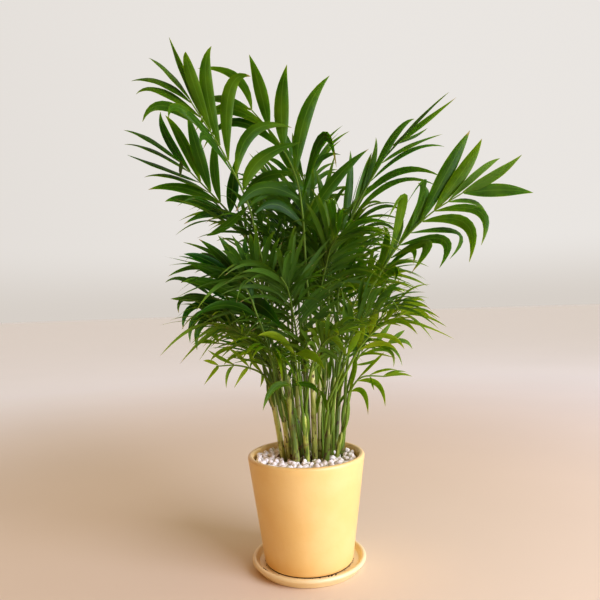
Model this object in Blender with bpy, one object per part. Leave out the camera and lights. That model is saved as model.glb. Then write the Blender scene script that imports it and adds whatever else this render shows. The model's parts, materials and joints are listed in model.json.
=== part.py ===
# Potted parlor palm: a clump of young palms in a tapered ceramic pot on its saucer.
# Metres, +Z up. The origin is on the table, under the middle of the saucer.
# Fronds are laid out in front elevation, as seen by an eye in front of the pot (the eye looks along +Y).
import itertools
import math
import random

import bmesh
import bpy
from mathutils import Matrix, Vector
from mathutils.bvhtree import BVHTree
from mathutils.kdtree import KDTree

MM = 0.001
SEED = 11
GAP = 0.3  # all sizes below are in millimetres

# Pot and saucer
POT_SIDES = 32
SOIL_SIDES = 16
POT_RIM_RADIUS = 60.0
POT_FOOT_RADIUS = 44.9
POT_FOOT_Z = 6.0
POT_RIM_Z = 113.2
POT_WALL = 5.4
POT_FLOOR = 7.0
POT_FOOT_BEND = 2.5
POT_INNER_BEND = 4.0
DRAIN_RADIUS = 6.0
SAUCER_RIM_RADIUS = 57.9
SAUCER_FOOT_RADIUS = 50.2
SAUCER_RIM_Z = 10.5
SAUCER_WALL = 4.6
SAUCER_FLOOR_RADIUS = 50.5
SAUCER_FOOT_BEND = 3.2

# Soil and pebbles
SOIL_TOP_Z = 95.0
PEBBLE_BASE_Z = 95.3
PEBBLE_LOW_Z = 100.4
PEBBLE_TOP_Z = 105.4
PEBBLE_PITCH = 12.0
PEBBLE_SPREAD = 1.2
PEBBLE_DOME = (0.58, 0.74)

# Canes and leaf stalks
CANE_SIDES = 6
CANE_END_Z = 72.0
CANE_LEVEL_Z = 108.0
CANE_SPACING = 24.0
CANE_BOW = 6.0
FOOT_LEAN = 0.45
HOLE_PLAY = 0.5
STALK_RING = 2.1
STALK_LIFT = 0.8
STALK_RADIUS = 1.55
LEAFY_RADIUS = 1.1
APEX_RADIUS = 0.6
STALK_PLAY = 1.4
STALK_INSERT = 2.0
STALK_ROOT = 10.0
STALK_STRIDE = 7
STEP = 4.0
EASING_ROUNDS = 160
EASING_REACH = 10

# Leaflets
BLADE_TOP = 0.5
BLADE_BOTTOM = 0.35
BLADE_FOLD = 0.07
LEAFLET_WIDTH = (6.6, 9.2)  # of the leaflets that follow a rule
LEAFLET_STRAY = 11  # degrees
LEAFLET_DROOP = (0.04, 0.38)  # share of the leaflet's length
FROND_ROLL = 36  # degrees that an arched frond may be turned about its own stalk
TEST_EXTRA = 0.45
# Ways to bend a leaflet clear of the rest, mildest first: scale, swing along the stalk, push out of its plane
PUSHES = (0, 5, -5, 10, -10, 16, -16, 23, -23, 31, -31)
BENDS = [(scale, swing, push) for scale in (1.0, 0.86, 0.7, 0.55) for swing in (0, 8, -8) for push in PUSHES]

# The eye that the front elevation is drawn for
EYE = Vector((-1.2, -563.5, 259.4))

# Each cane: foot (x, y) at the pebbles, top (x, y, z), radius at the foot and at the top
CANES = (
    ((-23, 1), (-35, -1, 184), 3.1, 2.6),
    ((-18, 11), (-27, 16, 200), 2.9, 2.5),
    ((-9.5, -15), (-17, -22, 196), 3.7, 2.9),
    ((-3, 3), (-8, -2, 148), 2.9, 2.5),
    ((3, 25), (2, 36, 212), 3.4, 2.7),
    ((9, -3), (9, -11, 204), 3.0, 2.6),
    ((15, 8), (17, 10, 214), 2.9, 2.5),
    ((19.5, -13), (25, -20, 158), 3.4, 2.8),
    ((31, 24), (41, 32, 198), 3.3, 2.6),
    ((37, 12), (44, 13, 160), 3.0, 2.5),
    ((-12, 22), (-18, 31, 152), 2.9, 2.4),
    ((18, 30), (24, 46, 203), 3.1, 2.6),
    ((31, -2), (37, -7, 134), 2.3, 2.0),
    ((-15, -5), (-25, -12, 170), 2.8, 2.4),
    ((1, -13), (-1, -25, 158), 2.9, 2.5),
    ((25, 9), (33, 7, 188), 2.8, 2.4),
    ((-5, 14), (-9, 17, 190), 2.7, 2.4),
)

# Each frond seen in front elevation. Its route is the stalk's visible part, as (across, up, depth), and its second
# point is where the leaflets begin. Each leaflet: tip across, up and depth, middle across and up, width, and the
# angle in degrees by which its face is turned away from the eye. They run from the frond's base to its end.
TRACED = {
    "frond_upper_left": dict(
        cane=2,
        route=((-36, 297, -22), (-51, 368, -35), (-75, 423, -45), (-109, 481, -52)),
        right=(
            (13, 381, -20, -18, 388, 11, 10),
            (6, 433, -35, -36, 418, 13, 10),
            (-4, 449, -30, -45, 446, 12, 15),
            (-45, 504, -55, -68, 488, 13, 10),
            (-85, 537, -60, -92, 500, 13, 5),
            (-112, 532, -75, -107, 506, 11, 10),
            (-129, 548, -50, -117, 513, 9, 50),
            (-151, 527, -40, -131, 511, 9, 62),
        ),
        left=(
            (-96, 339, -40, -76, 349, 9, 30),
            None,
            (-99, 429, -85, -92, 441, 9, 55),
            (-113, 465, -105, -102, 459, 9, 50),
            (-132, 462, -95, -118, 472, 9, 30),
            (-159, 460, -60, -135, 476, 10, 15),
            (-165, 489, -45, -140, 492, 9, 45),
            (-170, 503, -40, -140, 501, 9, 55),
        ),
    ),
    "frond_mid_left": dict(
        cane=0,
        route=((-43, 323, 15), (-61, 349, 15), (-88, 381, 12), (-123, 419, 8)),
        right=(
            None,
            (-64, 417, 20, -67, 391, 13, 10),
            (-81, 449, 5, -86, 412, 10, 15),
            (-112, 469, 0, -103, 429, 13, 5),
            (-135, 466, 10, -119, 440, 11, 10),
            (-140, 470, 0, -134, 443, 10, 25),
            (-121, 400, -25, -120, 410, 7, 50),
        ),
        left=(
            (-119, 352, 0, -86, 363, 11, 20),
            (-138, 376, 5, -112, 377, 11, 20),
            (-155, 389, 10, -120, 390, 11, 20),
            (-159, 402, 15, -130, 402, 9, 65),
            (-176, 426, 15, -146, 414, 9, 62),
            (-179, 437, 10, -150, 430, 9, 65),
            (-179, 452, 5, -152, 441, 9, 58),
        ),
    ),
    "frond_top": dict(
        cane=5,
        route=((5, 290, -35), (5, 347, -32), (-1, 396, -28), (-18, 434, -25), (-47, 471, -20)),
        right=(
            (75, 424, -20, 39, 393, 12, 20),
            (41, 406, -70, 27, 437, 11, 25),
            (37, 502, -30, 11, 462, 14, 5),
            (-7, 515, -30, -14, 475, 15, 5),
            (-46, 527, -25, -36, 491, 13, 10),
            (-100, 514, -10, -62, 505, 9, 20),
        ),
        left=(
            (-45, 360, -55, -21, 369, 11, 25),
            (-65, 363, -45, -37, 387, 13, 15),
            (-57, 375, -5, -37, 397, 11, 30),
            (-97, 429, 5, -63, 457, 10, 30),
            (-104, 449, -5, -73, 471, 11, 15),
            (-101, 477, 10, -78, 482, 9, 35),
        ),
    ),
    "frond_upper_right": dict(
        cane=15,
        route=((24, 284, -5), (36, 315, 2), (53, 349, 10), (71, 383, 15), (101, 429, 20)),
        right=(
            (106, 328, 0, 79, 346, 9, 50),
            (112, 355, 5, 83, 363, 9, 50),
            (145, 383, 10, 101, 389, 10, 35),
            (149, 393, -5, 107, 400, 11, 20),
            (154, 424, 25, 118, 421, 9, 50),
            (152, 437, 40, 118, 426, 9, 50),
            (168, 475, 20, 129, 447, 10, 30),
        ),
        left=(
            (20, 404, 0, 28, 367, 13, 15),
            (56, 423, 15, 54, 387, 12, 15),
            (78, 420, 35, 70, 397, 10, 35),
            (83, 436, 50, 80, 412, 10, 25),
            (124, 454, 20, 103, 438, 11, 20),
            (161, 481, 30, 129, 453, 9, 62),
            (137, 444, 55, 120, 434, 8, 55),
        ),
    ),
    "frond_right": dict(
        cane=9,
        route=((50, 245, -8), (76, 284, -15), (102, 322, -22), (136, 354, -30), (174, 377, -38)),
        right=(
            (92, 277, -35, 99, 297, 9, 20),
            (117, 303, -35, 114, 318, 8, 50),
            (115, 294, -45, 131, 324, 12, 20),
            (144, 298, -50, 149, 327, 11, 25),
            (155, 307, -20, 165, 334, 9, 62),
            (175, 303, -55, 173, 343, 12, 15),
            (188, 320, -50, 188, 355, 10, 25),
            (195, 344, -20, 186, 364, 8, 62),
            (244, 373, -45, 210, 377, 13, 5),
        ),
        left=(
            (86, 344, -40, 90, 326, 9, 30),
            (100, 358, -5, 104, 341, 9, 35),
            (92, 350, -60, 109, 370, 11, 20),
            (125, 387, -35, 130, 366, 12, 10),
            (110, 362, -75, 131, 386, 9, 35),
            (181, 440, -30, 158, 402, 14, 5),
            (193, 431, -35, 173, 399, 13, 5),
            (211, 410, -25, 188, 396, 9, 40),
            (234, 413, -55, 204, 392, 10, 15),
        ),
    ),
    "frond_fan_left": dict(
        cane=13,
        route=((-32, 224, -42), (-45, 252, -50), (-55, 280, -56), (-77, 305, -62)),
        right=(
            None,
            (-56, 339, -70, -55, 311, 9, 30),
            (-84, 339, -75, -67, 313, 10, 15),
            (-104, 336, -60, -80, 316, 9, 10),
            (-102, 321, -45, -91, 316, 8, 40),
        ),
        left=(
            (-112, 254, -85, -79, 267, 11, 40),
            (-122, 292, -90, -92, 289, 11, 25),
            (-117, 313, -75, -90, 301, 10, 15),
            (-120, 321, -70, -95, 313, 9, 15),
            (-137, 298, -60, -109, 307, 8, 55),
        ),
    ),
    "frond_arch_left": dict(
        cane=13,
        route=((-38, 217, -14), (-47, 245, -20), (-65, 265, -25), (-92, 275, -30)),
        right=(
            None,
            None,
            (-21, 241, -72, -44, 266, 15, 5),
            (-124, 291, -15, -106, 293, 9, 30),
            (-135, 275, -30, -115, 275, 8, 40),
        ),
        left=(
            (-109, 221, -30, -97, 252, 11, 35),
            (-116, 229, -35, -103, 258, 10, 35),
            (-123, 243, -30, -109, 267, 9, 40),
            (-127, 260, -30, -117, 277, 8, 40),
            (-140, 292, -30, -119, 294, 7, 55),
        ),
    ),
    "frond_low_left": dict(
        cane=3,
        route=((-29, 176, -8), (-43, 195, -12), (-67, 204, -15), (-90, 204, -18)),
        right=(
            (-54, 225, -20, -53, 211, 6, 20),
            (-77, 222, -22, -67, 215, 6, 20),
            (-98, 221, -20, -86, 213, 5.5, 20),
            (-103, 210, -20, -96, 209, 5.5, 25),
        ),
        left=(
            (-45, 181, -30, -42, 191, 5, 30),
            (-72, 181, -28, -62, 196, 6, 20),
            (-80, 181, -25, -78, 196, 5.5, 30),
            (-103, 185, -22, -92, 199, 5.5, 20),
        ),
    ),
    "frond_low_left_back": dict(
        cane=10,
        route=((-25, 175, 26), (-39, 207, 26), (-63, 223, 24), (-89, 228, 20)),
        right=(
            (-58, 251, 25, -50, 232, 6, 20),
            (-82, 254, 22, -66, 241, 6, 15),
            (-97, 247, 20, -80, 243, 5.5, 15),
            (-98, 240, 20, -91, 236, 5.5, 20),
        ),
        left=(
            (-55, 197, 10, -51, 208, 5.5, 30),
            (-82, 205, 12, -69, 215, 6, 25),
            (-96, 209, 14, -85, 219, 5.5, 20),
            (-113, 227, 20, -101, 230, 5.5, 20),
        ),
    ),
    "frond_bright_right": dict(
        cane=7,
        route=((46, 194, -18), (57, 216, -24), (76, 236, -30), (104, 252, -36)),
        right=(
            (98, 213, -45, 82, 222, 8, 25),
            (105, 215, -38, 92, 228, 8, 20),
            (119, 230, -40, 103, 244, 8, 20),
            (134, 245, -42, 120, 254, 7, 25),
        ),
        left=(
            (60, 255, -35, 62, 237, 8.5, 25),
            (77, 265, -38, 75, 249, 8.5, 20),
            (100, 270, -40, 94, 258, 8, 20),
            (132, 257, -40, 116, 261, 8, 15),
        ),
    ),
    "frond_right_inner": dict(
        cane=9,
        route=((49, 176, 14), (52, 200, 16), (67, 217, 18), (90, 222, 20)),
        right=(
            (81, 209, 25, 70, 203, 5, 45),
            (93, 197, 15, 88, 215, 6, 30),
            (102, 198, 18, 93, 216, 5.5, 40),
            (113, 215, 20, 104, 224, 6, 20),
        ),
        left=(
            (56, 247, 20, 56, 228, 7, 20),
            (73, 249, 22, 66, 233, 7, 20),
            (93, 244, 24, 84, 233, 7, 20),
            (106, 235, 20, 99, 230, 6, 20),
        ),
    ),
    "frond_low_right": dict(
        cane=12,
        route=((40, 150, -6), (48, 175, -8), (60, 188, -12), (85, 188, -16)),
        right=(
            (65, 149, -20, 61, 172, 7.5, 10),
            (83, 157, -22, 76, 180, 7.5, 15),
            (72, 174, -30, 70, 182, 5, 50),
            (112, 187, -18, 98, 190, 5.5, 35),
        ),
        left=(
            (51, 214, -10, 53, 200, 7, 25),
            (84, 213, -10, 73, 203, 5.5, 45),
            (97, 194, -14, 84, 195, 5.5, 50),
            (106, 192, -10, 95, 193, 5.5, 50),
        ),
    ),
    "leaf_pair_front": dict(
        cane=14,
        route=((-7, 172, -22), (-7, 195, -46), (-8, 216, -56)),
        right=((22, 197, -70, 9, 212, 13, 5),),
        left=((-46, 234, -66, -27, 233, 12, 20),),
    ),
    "leaf_pair_front_right": dict(
        cane=7,
        route=((33, 178, -30), (42, 196, -46), (46, 213, -52)),
        right=((62, 237, -60, 54, 226, 11, 20),),
        left=((-2, 234, -62, 25, 236, 11, 20),),
    ),
    "leaf_pair_low": dict(
        cane=3,
        route=((-9, 158, -12), (-12, 172, -28), (-14, 184, -40)),
        right=((14, 170, -50, 7, 181, 9, 20),),
        left=((-43, 157, -50, -31, 180, 12, 20),),
    ),
}

# Each frond whose leaflets follow a rule: the cane it grows from, the compass direction in degrees that it arches to,
# its reach and rise from the cane's top, its pairs of leaflets, and the longest leaflet's length
ARCHED = {
    "frond_centre": (16, 100, 40, 196, 8, 80),
    "frond_left_low_front": (0, 212, 62, 66, 8, 56),
    "frond_left_back": (0, 156, 64, 122, 7, 60),
    "frond_left_inner": (1, 190, 46, 150, 8, 74),
    "frond_left_back_low": (1, 112, 80, 58, 7, 54),
    "frond_front_left": (2, 232, 60, 96, 7, 66),
    "frond_back": (4, 80, 92, 112, 8, 78),
    "frond_back_high": (4, 120, 52, 166, 8, 78),
    "frond_front": (14, 246, 42, 132, 8, 64),
    "frond_front_right": (6, 290, 58, 114, 8, 68),
    "frond_inner_right": (15, 50, 44, 170, 8, 76),
    "frond_front_right_low": (7, 326, 60, 98, 7, 60),
    "frond_right_back": (8, 24, 56, 100, 7, 56),
    "frond_right_back_high": (8, 66, 84, 132, 8, 70),
    "frond_right_low": (9, 345, 58, 92, 8, 54),
    "frond_back_left_low": (10, 128, 92, 78, 7, 68),
    "frond_back_low": (11, 75, 98, 54, 7, 64),
    "frond_middle": (4, 282, 28, 190, 8, 76),
    "frond_middle_right": (8, 222, 46, 156, 8, 76),
    "frond_middle_left": (16, 218, 40, 146, 8, 70),
    "frond_middle_back": (11, 262, 40, 122, 7, 70),
    "frond_back_right": (11, 98, 72, 128, 8, 76),
    "frond_low_front": (13, 262, 44, 52, 7, 50),
    "frond_low_front_right": (14, 312, 50, 78, 7, 50),
}

COLOURS = {
    "ceramic": ((0.93, 0.68, 0.27), 0.45),
    "saucer_ceramic": ((0.95, 0.74, 0.36), 0.45),
    "soil": ((0.06, 0.04, 0.03), 0.95),
    "pebbles": ((0.80, 0.78, 0.73), 0.70),
    "cane": ((0.42, 0.50, 0.15), 0.50),
    "leaf": ((0.09, 0.27, 0.04), 0.45),
}


def clear_scene():
    for thing in list(bpy.data.objects):
        bpy.data.objects.remove(thing, do_unlink=True)


def make_materials():
    made = {}
    for name, (colour, roughness) in COLOURS.items():
        material = bpy.data.materials.new(name)
        material.use_nodes = True
        shader = material.node_tree.nodes["Principled BSDF"]
        shader.inputs["Base Color"].default_value = (*colour, 1.0)
        shader.inputs["Roughness"].default_value = roughness
        made[name] = material
    return made


def add_object(name, mesh, material):
    thing = bpy.data.objects.new(name, mesh)
    thing.data.materials.append(material)
    bpy.context.scene.collection.objects.link(thing)
    return thing


def mesh_of(name, points, faces):
    # points are in millimetres
    mesh = bpy.data.meshes.new(name)
    mesh.from_pydata([Vector(p) * MM for p in points], [], faces)
    return mesh


def arc(centre, radius, start, end, steps):
    points = []
    for step in range(steps + 1):
        angle = math.radians(start + (end - start) * step / steps)
        points.append((centre[0] + radius * math.cos(angle), centre[1] + radius * math.sin(angle)))
    return points


def lathe(name, profile, closed, sides=POT_SIDES):
    # profile is a list of (radius, height); one end of an open profile is on the axis at each side
    shape = bmesh.new()
    verts = [shape.verts.new((r * MM, 0.0, z * MM)) for r, z in profile]
    edges = [shape.edges.new(pair) for pair in zip(verts, verts[1:])]
    if closed:
        edges.append(shape.edges.new((verts[-1], verts[0])))
    turn = 2 * math.pi
    bmesh.ops.spin(shape, geom=verts + edges, cent=(0, 0, 0), axis=(0, 0, 1), angle=turn, steps=sides, use_merge=True)
    bmesh.ops.remove_doubles(shape, verts=shape.verts, dist=0.000001)
    bmesh.ops.recalc_face_normals(shape, faces=shape.faces)
    mesh = bpy.data.meshes.new(name)
    shape.to_mesh(mesh)
    shape.free()
    mesh.shade_smooth()
    mesh.set_sharp_from_angle(angle=math.radians(40))
    return mesh


def outer_radius(z):
    share = (z - POT_FOOT_Z) / (POT_RIM_Z - POT_FOOT_Z)
    return POT_FOOT_RADIUS + (POT_RIM_RADIUS - POT_FOOT_RADIUS) * share


def inner_radius(z):
    return outer_radius(z) - POT_WALL


def pot_mesh():
    lip = POT_WALL / 2
    lip_z = POT_RIM_Z - lip
    bend = POT_FOOT_BEND
    profile = [(DRAIN_RADIUS, POT_FOOT_Z), (POT_FOOT_RADIUS - bend, POT_FOOT_Z)]
    profile += arc((outer_radius(POT_FOOT_Z + bend) - bend, POT_FOOT_Z + bend), bend, -60, 0, 2)
    profile += arc((outer_radius(lip_z) - lip, lip_z), lip, 0, 180, 5)
    floor_z = POT_FOOT_Z + POT_FLOOR
    profile += [(inner_radius(floor_z + POT_INNER_BEND), floor_z + POT_INNER_BEND)]
    profile += [(inner_radius(floor_z) - POT_INNER_BEND, floor_z)]
    profile += [(DRAIN_RADIUS, floor_z)]
    return lathe("pot", profile, True)


def saucer_mesh():
    rim = SAUCER_WALL / 2
    rim_centre = (SAUCER_RIM_RADIUS - rim, SAUCER_RIM_Z - rim)
    floor_z = POT_FOOT_Z - GAP
    profile = [(0, 0), (SAUCER_FOOT_RADIUS, 0)]
    profile += arc((SAUCER_FOOT_RADIUS, SAUCER_FOOT_BEND), SAUCER_FOOT_BEND, -55, -25, 1)
    profile += arc(rim_centre, rim, -15, 165, 5)
    profile += [(SAUCER_FLOOR_RADIUS, floor_z), (0, floor_z)]
    return lathe("saucer", profile, False)


def soil_mesh():
    floor_z = POT_FOOT_Z + POT_FLOOR
    profile = [
        (0, floor_z + GAP),
        (inner_radius(floor_z) - POT_INNER_BEND - GAP, floor_z + GAP),
        (inner_radius(floor_z + POT_INNER_BEND) - GAP, floor_z + POT_INNER_BEND + GAP),
        (inner_radius(SOIL_TOP_Z) - GAP, SOIL_TOP_Z),
        (0, SOIL_TOP_Z),
    ]
    return lathe("soil", profile, False, SOIL_SIDES)


def pebble_centres(draw):
    # A loose honeycomb of stones that fills the pot's mouth
    reach = inner_radius(PEBBLE_LOW_Z) - PEBBLE_PITCH * 0.62
    rows = int(reach / PEBBLE_PITCH) + 2
    centres = []
    for row in range(-rows, rows + 1):
        for column in range(-rows, rows + 1):
            x = (column + 0.5 * (row % 2)) * PEBBLE_PITCH
            y = row * PEBBLE_PITCH * math.sqrt(0.75)
            if math.hypot(x, y) < reach:
                height = PEBBLE_TOP_Z + draw.uniform(-PEBBLE_SPREAD, PEBBLE_SPREAD)
                centres.append((x, y, height))
    return centres


def pebble_mesh():
    # Relief: each stone is a six-sided dome on a honeycomb; bare ground stays low where a cane comes through
    draw = random.Random(SEED)
    corner_radius = PEBBLE_PITCH / math.sqrt(3)
    feet = [Vector(cane[0]) for cane in CANES]
    corners = {}
    points = []
    faces = []
    edges = set()
    for x, y, height in pebble_centres(draw):
        ring = []
        dome = []
        bare = any((foot - Vector((x, y))).length < PEBBLE_PITCH * 0.62 for foot in feet)
        for side in range(6):
            angle = math.radians(60 * side + 30)
            across, up = math.cos(angle), math.sin(angle)
            corner = (x + corner_radius * across, y + corner_radius * up)
            key = (round(corner[0], 2), round(corner[1], 2))
            if key not in corners:
                corners[key] = len(points)
                points.append((*corner, PEBBLE_LOW_Z))
            ring.append(corners[key])
            if not bare:
                bulge = corner_radius * draw.uniform(*PEBBLE_DOME)
                dome.append(len(points))
                points.append((x + bulge * across, y + bulge * up, height))
        edges |= set(zip(ring, ring[1:] + ring[:1]))
        if bare:
            faces.append(tuple(ring))
            continue
        faces.append(tuple(dome))
        for side in range(6):
            after = (side + 1) % 6
            faces += [(ring[side], ring[after], dome[after]), (ring[side], dome[after], dome[side])]
    border = {a: b for a, b in edges if (b, a) not in edges}
    loop = [min(border)]
    while border[loop[-1]] != loop[0]:
        loop.append(border[loop[-1]])
    under = list(range(len(points), len(points) + len(loop)))
    points += [(points[index][0], points[index][1], PEBBLE_BASE_Z) for index in loop]
    for here in range(len(loop)):
        after = (here + 1) % len(loop)
        faces.append((loop[here], under[here], under[after], loop[after]))
    faces.append(tuple(reversed(under)))
    return mesh_of("pebbles", points, faces)


def smooth_path(points, spacing):
    # Evenly spaced points on a centripetal Catmull-Rom curve through the given ones
    ends = [points[0] * 2 - points[1], *points, points[-1] * 2 - points[-2]]
    fine = []
    for before, a, b, after in zip(ends, ends[1:], ends[2:], ends[3:]):
        first, span, last = (math.sqrt((q - p).length) for p, q in ((before, a), (a, b), (b, after)))
        leave = (b - a) + ((a - before) / first - (b - before) / (first + span)) * span
        arrive = (b - a) + ((after - b) / last - (after - a) / (span + last)) * span
        for step in range(16):
            t = step / 16
            rise = t * t * (3 - 2 * t)
            fine.append(a.lerp(b, rise) + leave * t * (1 - t) ** 2 - arrive * t * t * (1 - t))
    fine.append(points[-1])
    lengths = [0.0]
    for a, b in zip(fine, fine[1:]):
        lengths.append(lengths[-1] + (b - a).length)
    count = max(3, round(lengths[-1] / spacing))
    path = []
    index = 0
    for step in range(count + 1):
        wanted = lengths[-1] * step / count
        while index < len(fine) - 2 and lengths[index + 1] < wanted:
            index += 1
        share = (wanted - lengths[index]) / (lengths[index + 1] - lengths[index])
        path.append(fine[index].lerp(fine[index + 1], share))
    return path


def cane_path(cane):
    foot, top, *_ = cane
    ground = Vector((foot[0], foot[1], SOIL_TOP_Z))
    lean = (Vector(top) - ground).normalized()
    rise = Vector((lean.x * FOOT_LEAN, lean.y * FOOT_LEAN, lean.z)).normalized()
    end = ground + rise * (CANE_END_Z - SOIL_TOP_Z)
    level = ground + rise * (CANE_LEVEL_Z - SOIL_TOP_Z)
    middle = level.lerp(Vector(top), 0.5) + (rise - lean) * CANE_BOW
    upper = smooth_path([ground, level, middle, Vector(top)], CANE_SPACING)
    return [end, ground, level] + [p for p in upper if p.z > CANE_LEVEL_Z + 8]


def tube_mesh(name, path, radii, sides):
    points = []
    faces = []
    side_axis = Vector((1, 0, 0))
    for index, point in enumerate(path):
        along = (path[min(index + 1, len(path) - 1)] - path[max(index - 1, 0)]).normalized()
        across = (side_axis - along * side_axis.dot(along)).normalized()
        other = along.cross(across)
        for side in range(sides):
            angle = 2 * math.pi * side / sides
            points.append(point + (across * math.cos(angle) + other * math.sin(angle)) * radii[index])
    for index in range(len(path) - 1):
        for side in range(sides):
            after = (side + 1) % sides
            a, b = index * sides + side, index * sides + after
            faces += [(a, b, b + sides), (a, b + sides, a + sides)]
    last = (len(path) - 1) * sides
    faces.append(tuple(reversed(range(sides))))
    faces.append(tuple(range(last, last + sides)))
    return mesh_of(name, points, faces)


def cane_radii(cane, path):
    foot_radius, top_radius = cane[2:]
    rise = path[-1].z - SOIL_TOP_Z
    return [foot_radius + (top_radius - foot_radius) * max(0.0, (p.z - SOIL_TOP_Z) / rise) for p in path]


def cane_cutter(number, cane):
    # A straight hole for the cane's foot, a little wider and deeper than the cane
    end, ground, level = cane_path(cane)[:3]
    along = (level - ground).normalized()
    path = [end - along * GAP * 2, ground, level + along * 6]
    radius = cane[2] + HOLE_PLAY
    mesh = tube_mesh(f"cane_hole_{number:02d}", path, [radius] * 3, CANE_SIDES)
    cutter = bpy.data.objects.new(mesh.name, mesh)
    cutter.hide_render = True
    cutter.display_type = "WIRE"
    bpy.context.scene.collection.objects.link(cutter)
    return cutter


def cut_holes(thing, cutters):
    for cutter in cutters:
        hole = thing.modifiers.new(cutter.name, "BOOLEAN")
        hole.object = cutter
        hole.operation = "DIFFERENCE"
        hole.solver = "EXACT"


def seen_at(across, up, depth):
    # The point that the eye sees at (across, up) in the elevation through the pot's axis, at a depth behind it
    return EYE + (Vector((across, 0, up)) - EYE) * ((depth - EYE.y) / -EYE.y)


def seen_route(frond, top):
    # The points that a stalk passes above its cane
    if isinstance(frond, dict):
        return [seen_at(*point) for point in frond["route"]]
    _, compass, reach, rise, _, _ = frond
    out = Vector((math.cos(math.radians(compass)), math.sin(math.radians(compass)), 0))
    shares = ((0.22, 0.50), (0.40, 0.72), (0.70, 0.93), (1.0, 1.0))
    return [top + out * reach * along + Vector((0, 0, rise * up)) for along, up in shares]


def stalk_angles(number, fronds):
    # Stalks on one cane stand round its middle, each on the side that it leaves by
    top = Vector(CANES[number][1])
    headings = {}
    for name, frond in fronds.items():
        cane = frond["cane"] if isinstance(frond, dict) else frond[0]
        if cane == number:
            run = seen_route(frond, top)[0] - top
            headings[name] = math.atan2(run.y, run.x)
    best = None
    for order in itertools.permutations(headings):
        for turn in range(0, 120, 5):
            angles = {name: math.radians(turn + 120 * place) for place, name in enumerate(order)}
            miss = sum(1 - math.cos(angles[name] - headings[name]) for name in order)
            if best is None or miss < best[0]:
                best = (miss, angles)
    return best[1]


def plan_fronds():
    # The routes of all stalks, as smooth paths from the cane's top to the frond's end
    fronds = {**TRACED, **ARCHED}
    plans = []
    for number, cane in enumerate(CANES):
        base = cane_path(cane)
        along = (base[-1] - base[-2]).normalized()
        across = (Vector((1, 0, 0)) - along * along.x).normalized()
        other = along.cross(across)
        top = Vector(cane[1])
        for name, angle in stalk_angles(number, fronds).items():
            frond = fronds[name]
            traced = isinstance(frond, dict)
            seen = seen_route(frond, top)
            ring = (across * math.cos(angle) + other * math.sin(angle)) * STALK_RING * cane[3] / 2.6
            start = top + ring + along * STALK_LIFT
            path = smooth_path([start, start + along * STALK_ROOT + ring * 0.6, *seen], STEP)
            leafy = seen[1] if traced else seen[0]
            leafy_from = min(range(len(path)), key=lambda i: (path[i] - leafy).length)
            face = None
            if not traced:
                run = seen[-1] - seen[0]
                face = Vector((-run.x, -run.y, math.hypot(run.x, run.y) * 0.9)).normalized()
                roll = random.Random(name).uniform(-FROND_ROLL, FROND_ROLL)
                face = Matrix.Rotation(math.radians(roll), 3, run) @ face
            plans.append(dict(name=name, frond=frond, path=path, leafy_from=leafy_from, face=face, traced=traced))
    order = list(fronds)
    return sorted(plans, key=lambda plan: order.index(plan["name"]))


def stalk_radius(plan, index):
    leafy = plan["leafy_from"]
    last = len(plan["path"]) - 1
    if index <= leafy:
        return STALK_RADIUS + (LEAFY_RADIUS - STALK_RADIUS) * index / max(1, leafy)
    return LEAFY_RADIUS + (APEX_RADIUS - LEAFY_RADIUS) * (index - leafy) / max(1, last - leafy)


def part_stalks(plans):
    # Stalks that would touch each other, or a cane, are eased apart, with their feet held
    fixed = []
    for cane in CANES:
        path = cane_path(cane)
        radii = cane_radii(cane, path)
        for a, b, radius in zip(path, path[1:], radii):
            steps = max(1, round((b - a).length / STEP))
            fixed += [(a.lerp(b, step / steps), radius) for step in range(steps)]
    for _ in range(EASING_ROUNDS):
        samples = []
        for number, plan in enumerate(plans):
            for index, point in enumerate(plan["path"]):
                samples.append((point, stalk_radius(plan, index), number))
        samples += [(point, radius, -1) for point, radius in fixed]
        tree = KDTree(len(samples))
        for index, sample in enumerate(samples):
            tree.insert(sample[0], index)
        tree.balance()
        worst = 0.0
        for number, plan in enumerate(plans):
            path = plan["path"]
            push = [Vector() for _ in path]
            for index, point in enumerate(path):
                radius = stalk_radius(plan, index)
                for other, which, distance in tree.find_range(point, radius + 6):
                    if samples[which][2] == number or distance < 0.001:
                        continue
                    lack = radius + samples[which][1] + STALK_PLAY + STEP * 0.12 - distance
                    if lack > 0 and index > 2:
                        push[index] += (point - other) * (lack / distance * 0.1)
                        worst = max(worst, lack)
            for index in range(3, len(path)):
                near = range(max(3, index - EASING_REACH), min(len(path), index + EASING_REACH + 1))
                weights = [math.exp(-((index - i) * 2 / EASING_REACH) ** 2) for i in near]
                hold = min(1.0, (index - 2) / 3)
                moved = Vector()
                for i, weight in zip(near, weights):
                    moved += push[i] * weight
                path[index] = path[index] + moved * hold * 0.8
        if worst < 0.3:
            break


def station_frame(plan, index):
    path = plan["path"]
    along = (path[min(index + 1, len(path) - 1)] - path[max(index - 1, 0)]).normalized()
    face = plan["face"] or (EYE - path[index]).normalized()
    up = (face - along * face.dot(along)).normalized()
    return path[index], along, up, along.cross(up)


def rachis_point(plan, distance_index):
    # The frame at a fractional place along the path
    low = min(int(distance_index), len(plan["path"]) - 2)
    share = distance_index - low
    here = station_frame(plan, low)
    there = station_frame(plan, low + 1)
    mixed = [a.lerp(b, share) for a, b in zip(here, there)]
    radius = stalk_radius(plan, distance_index)
    return mixed[0], mixed[1].normalized(), mixed[2].normalized(), mixed[3].normalized(), radius


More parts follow.
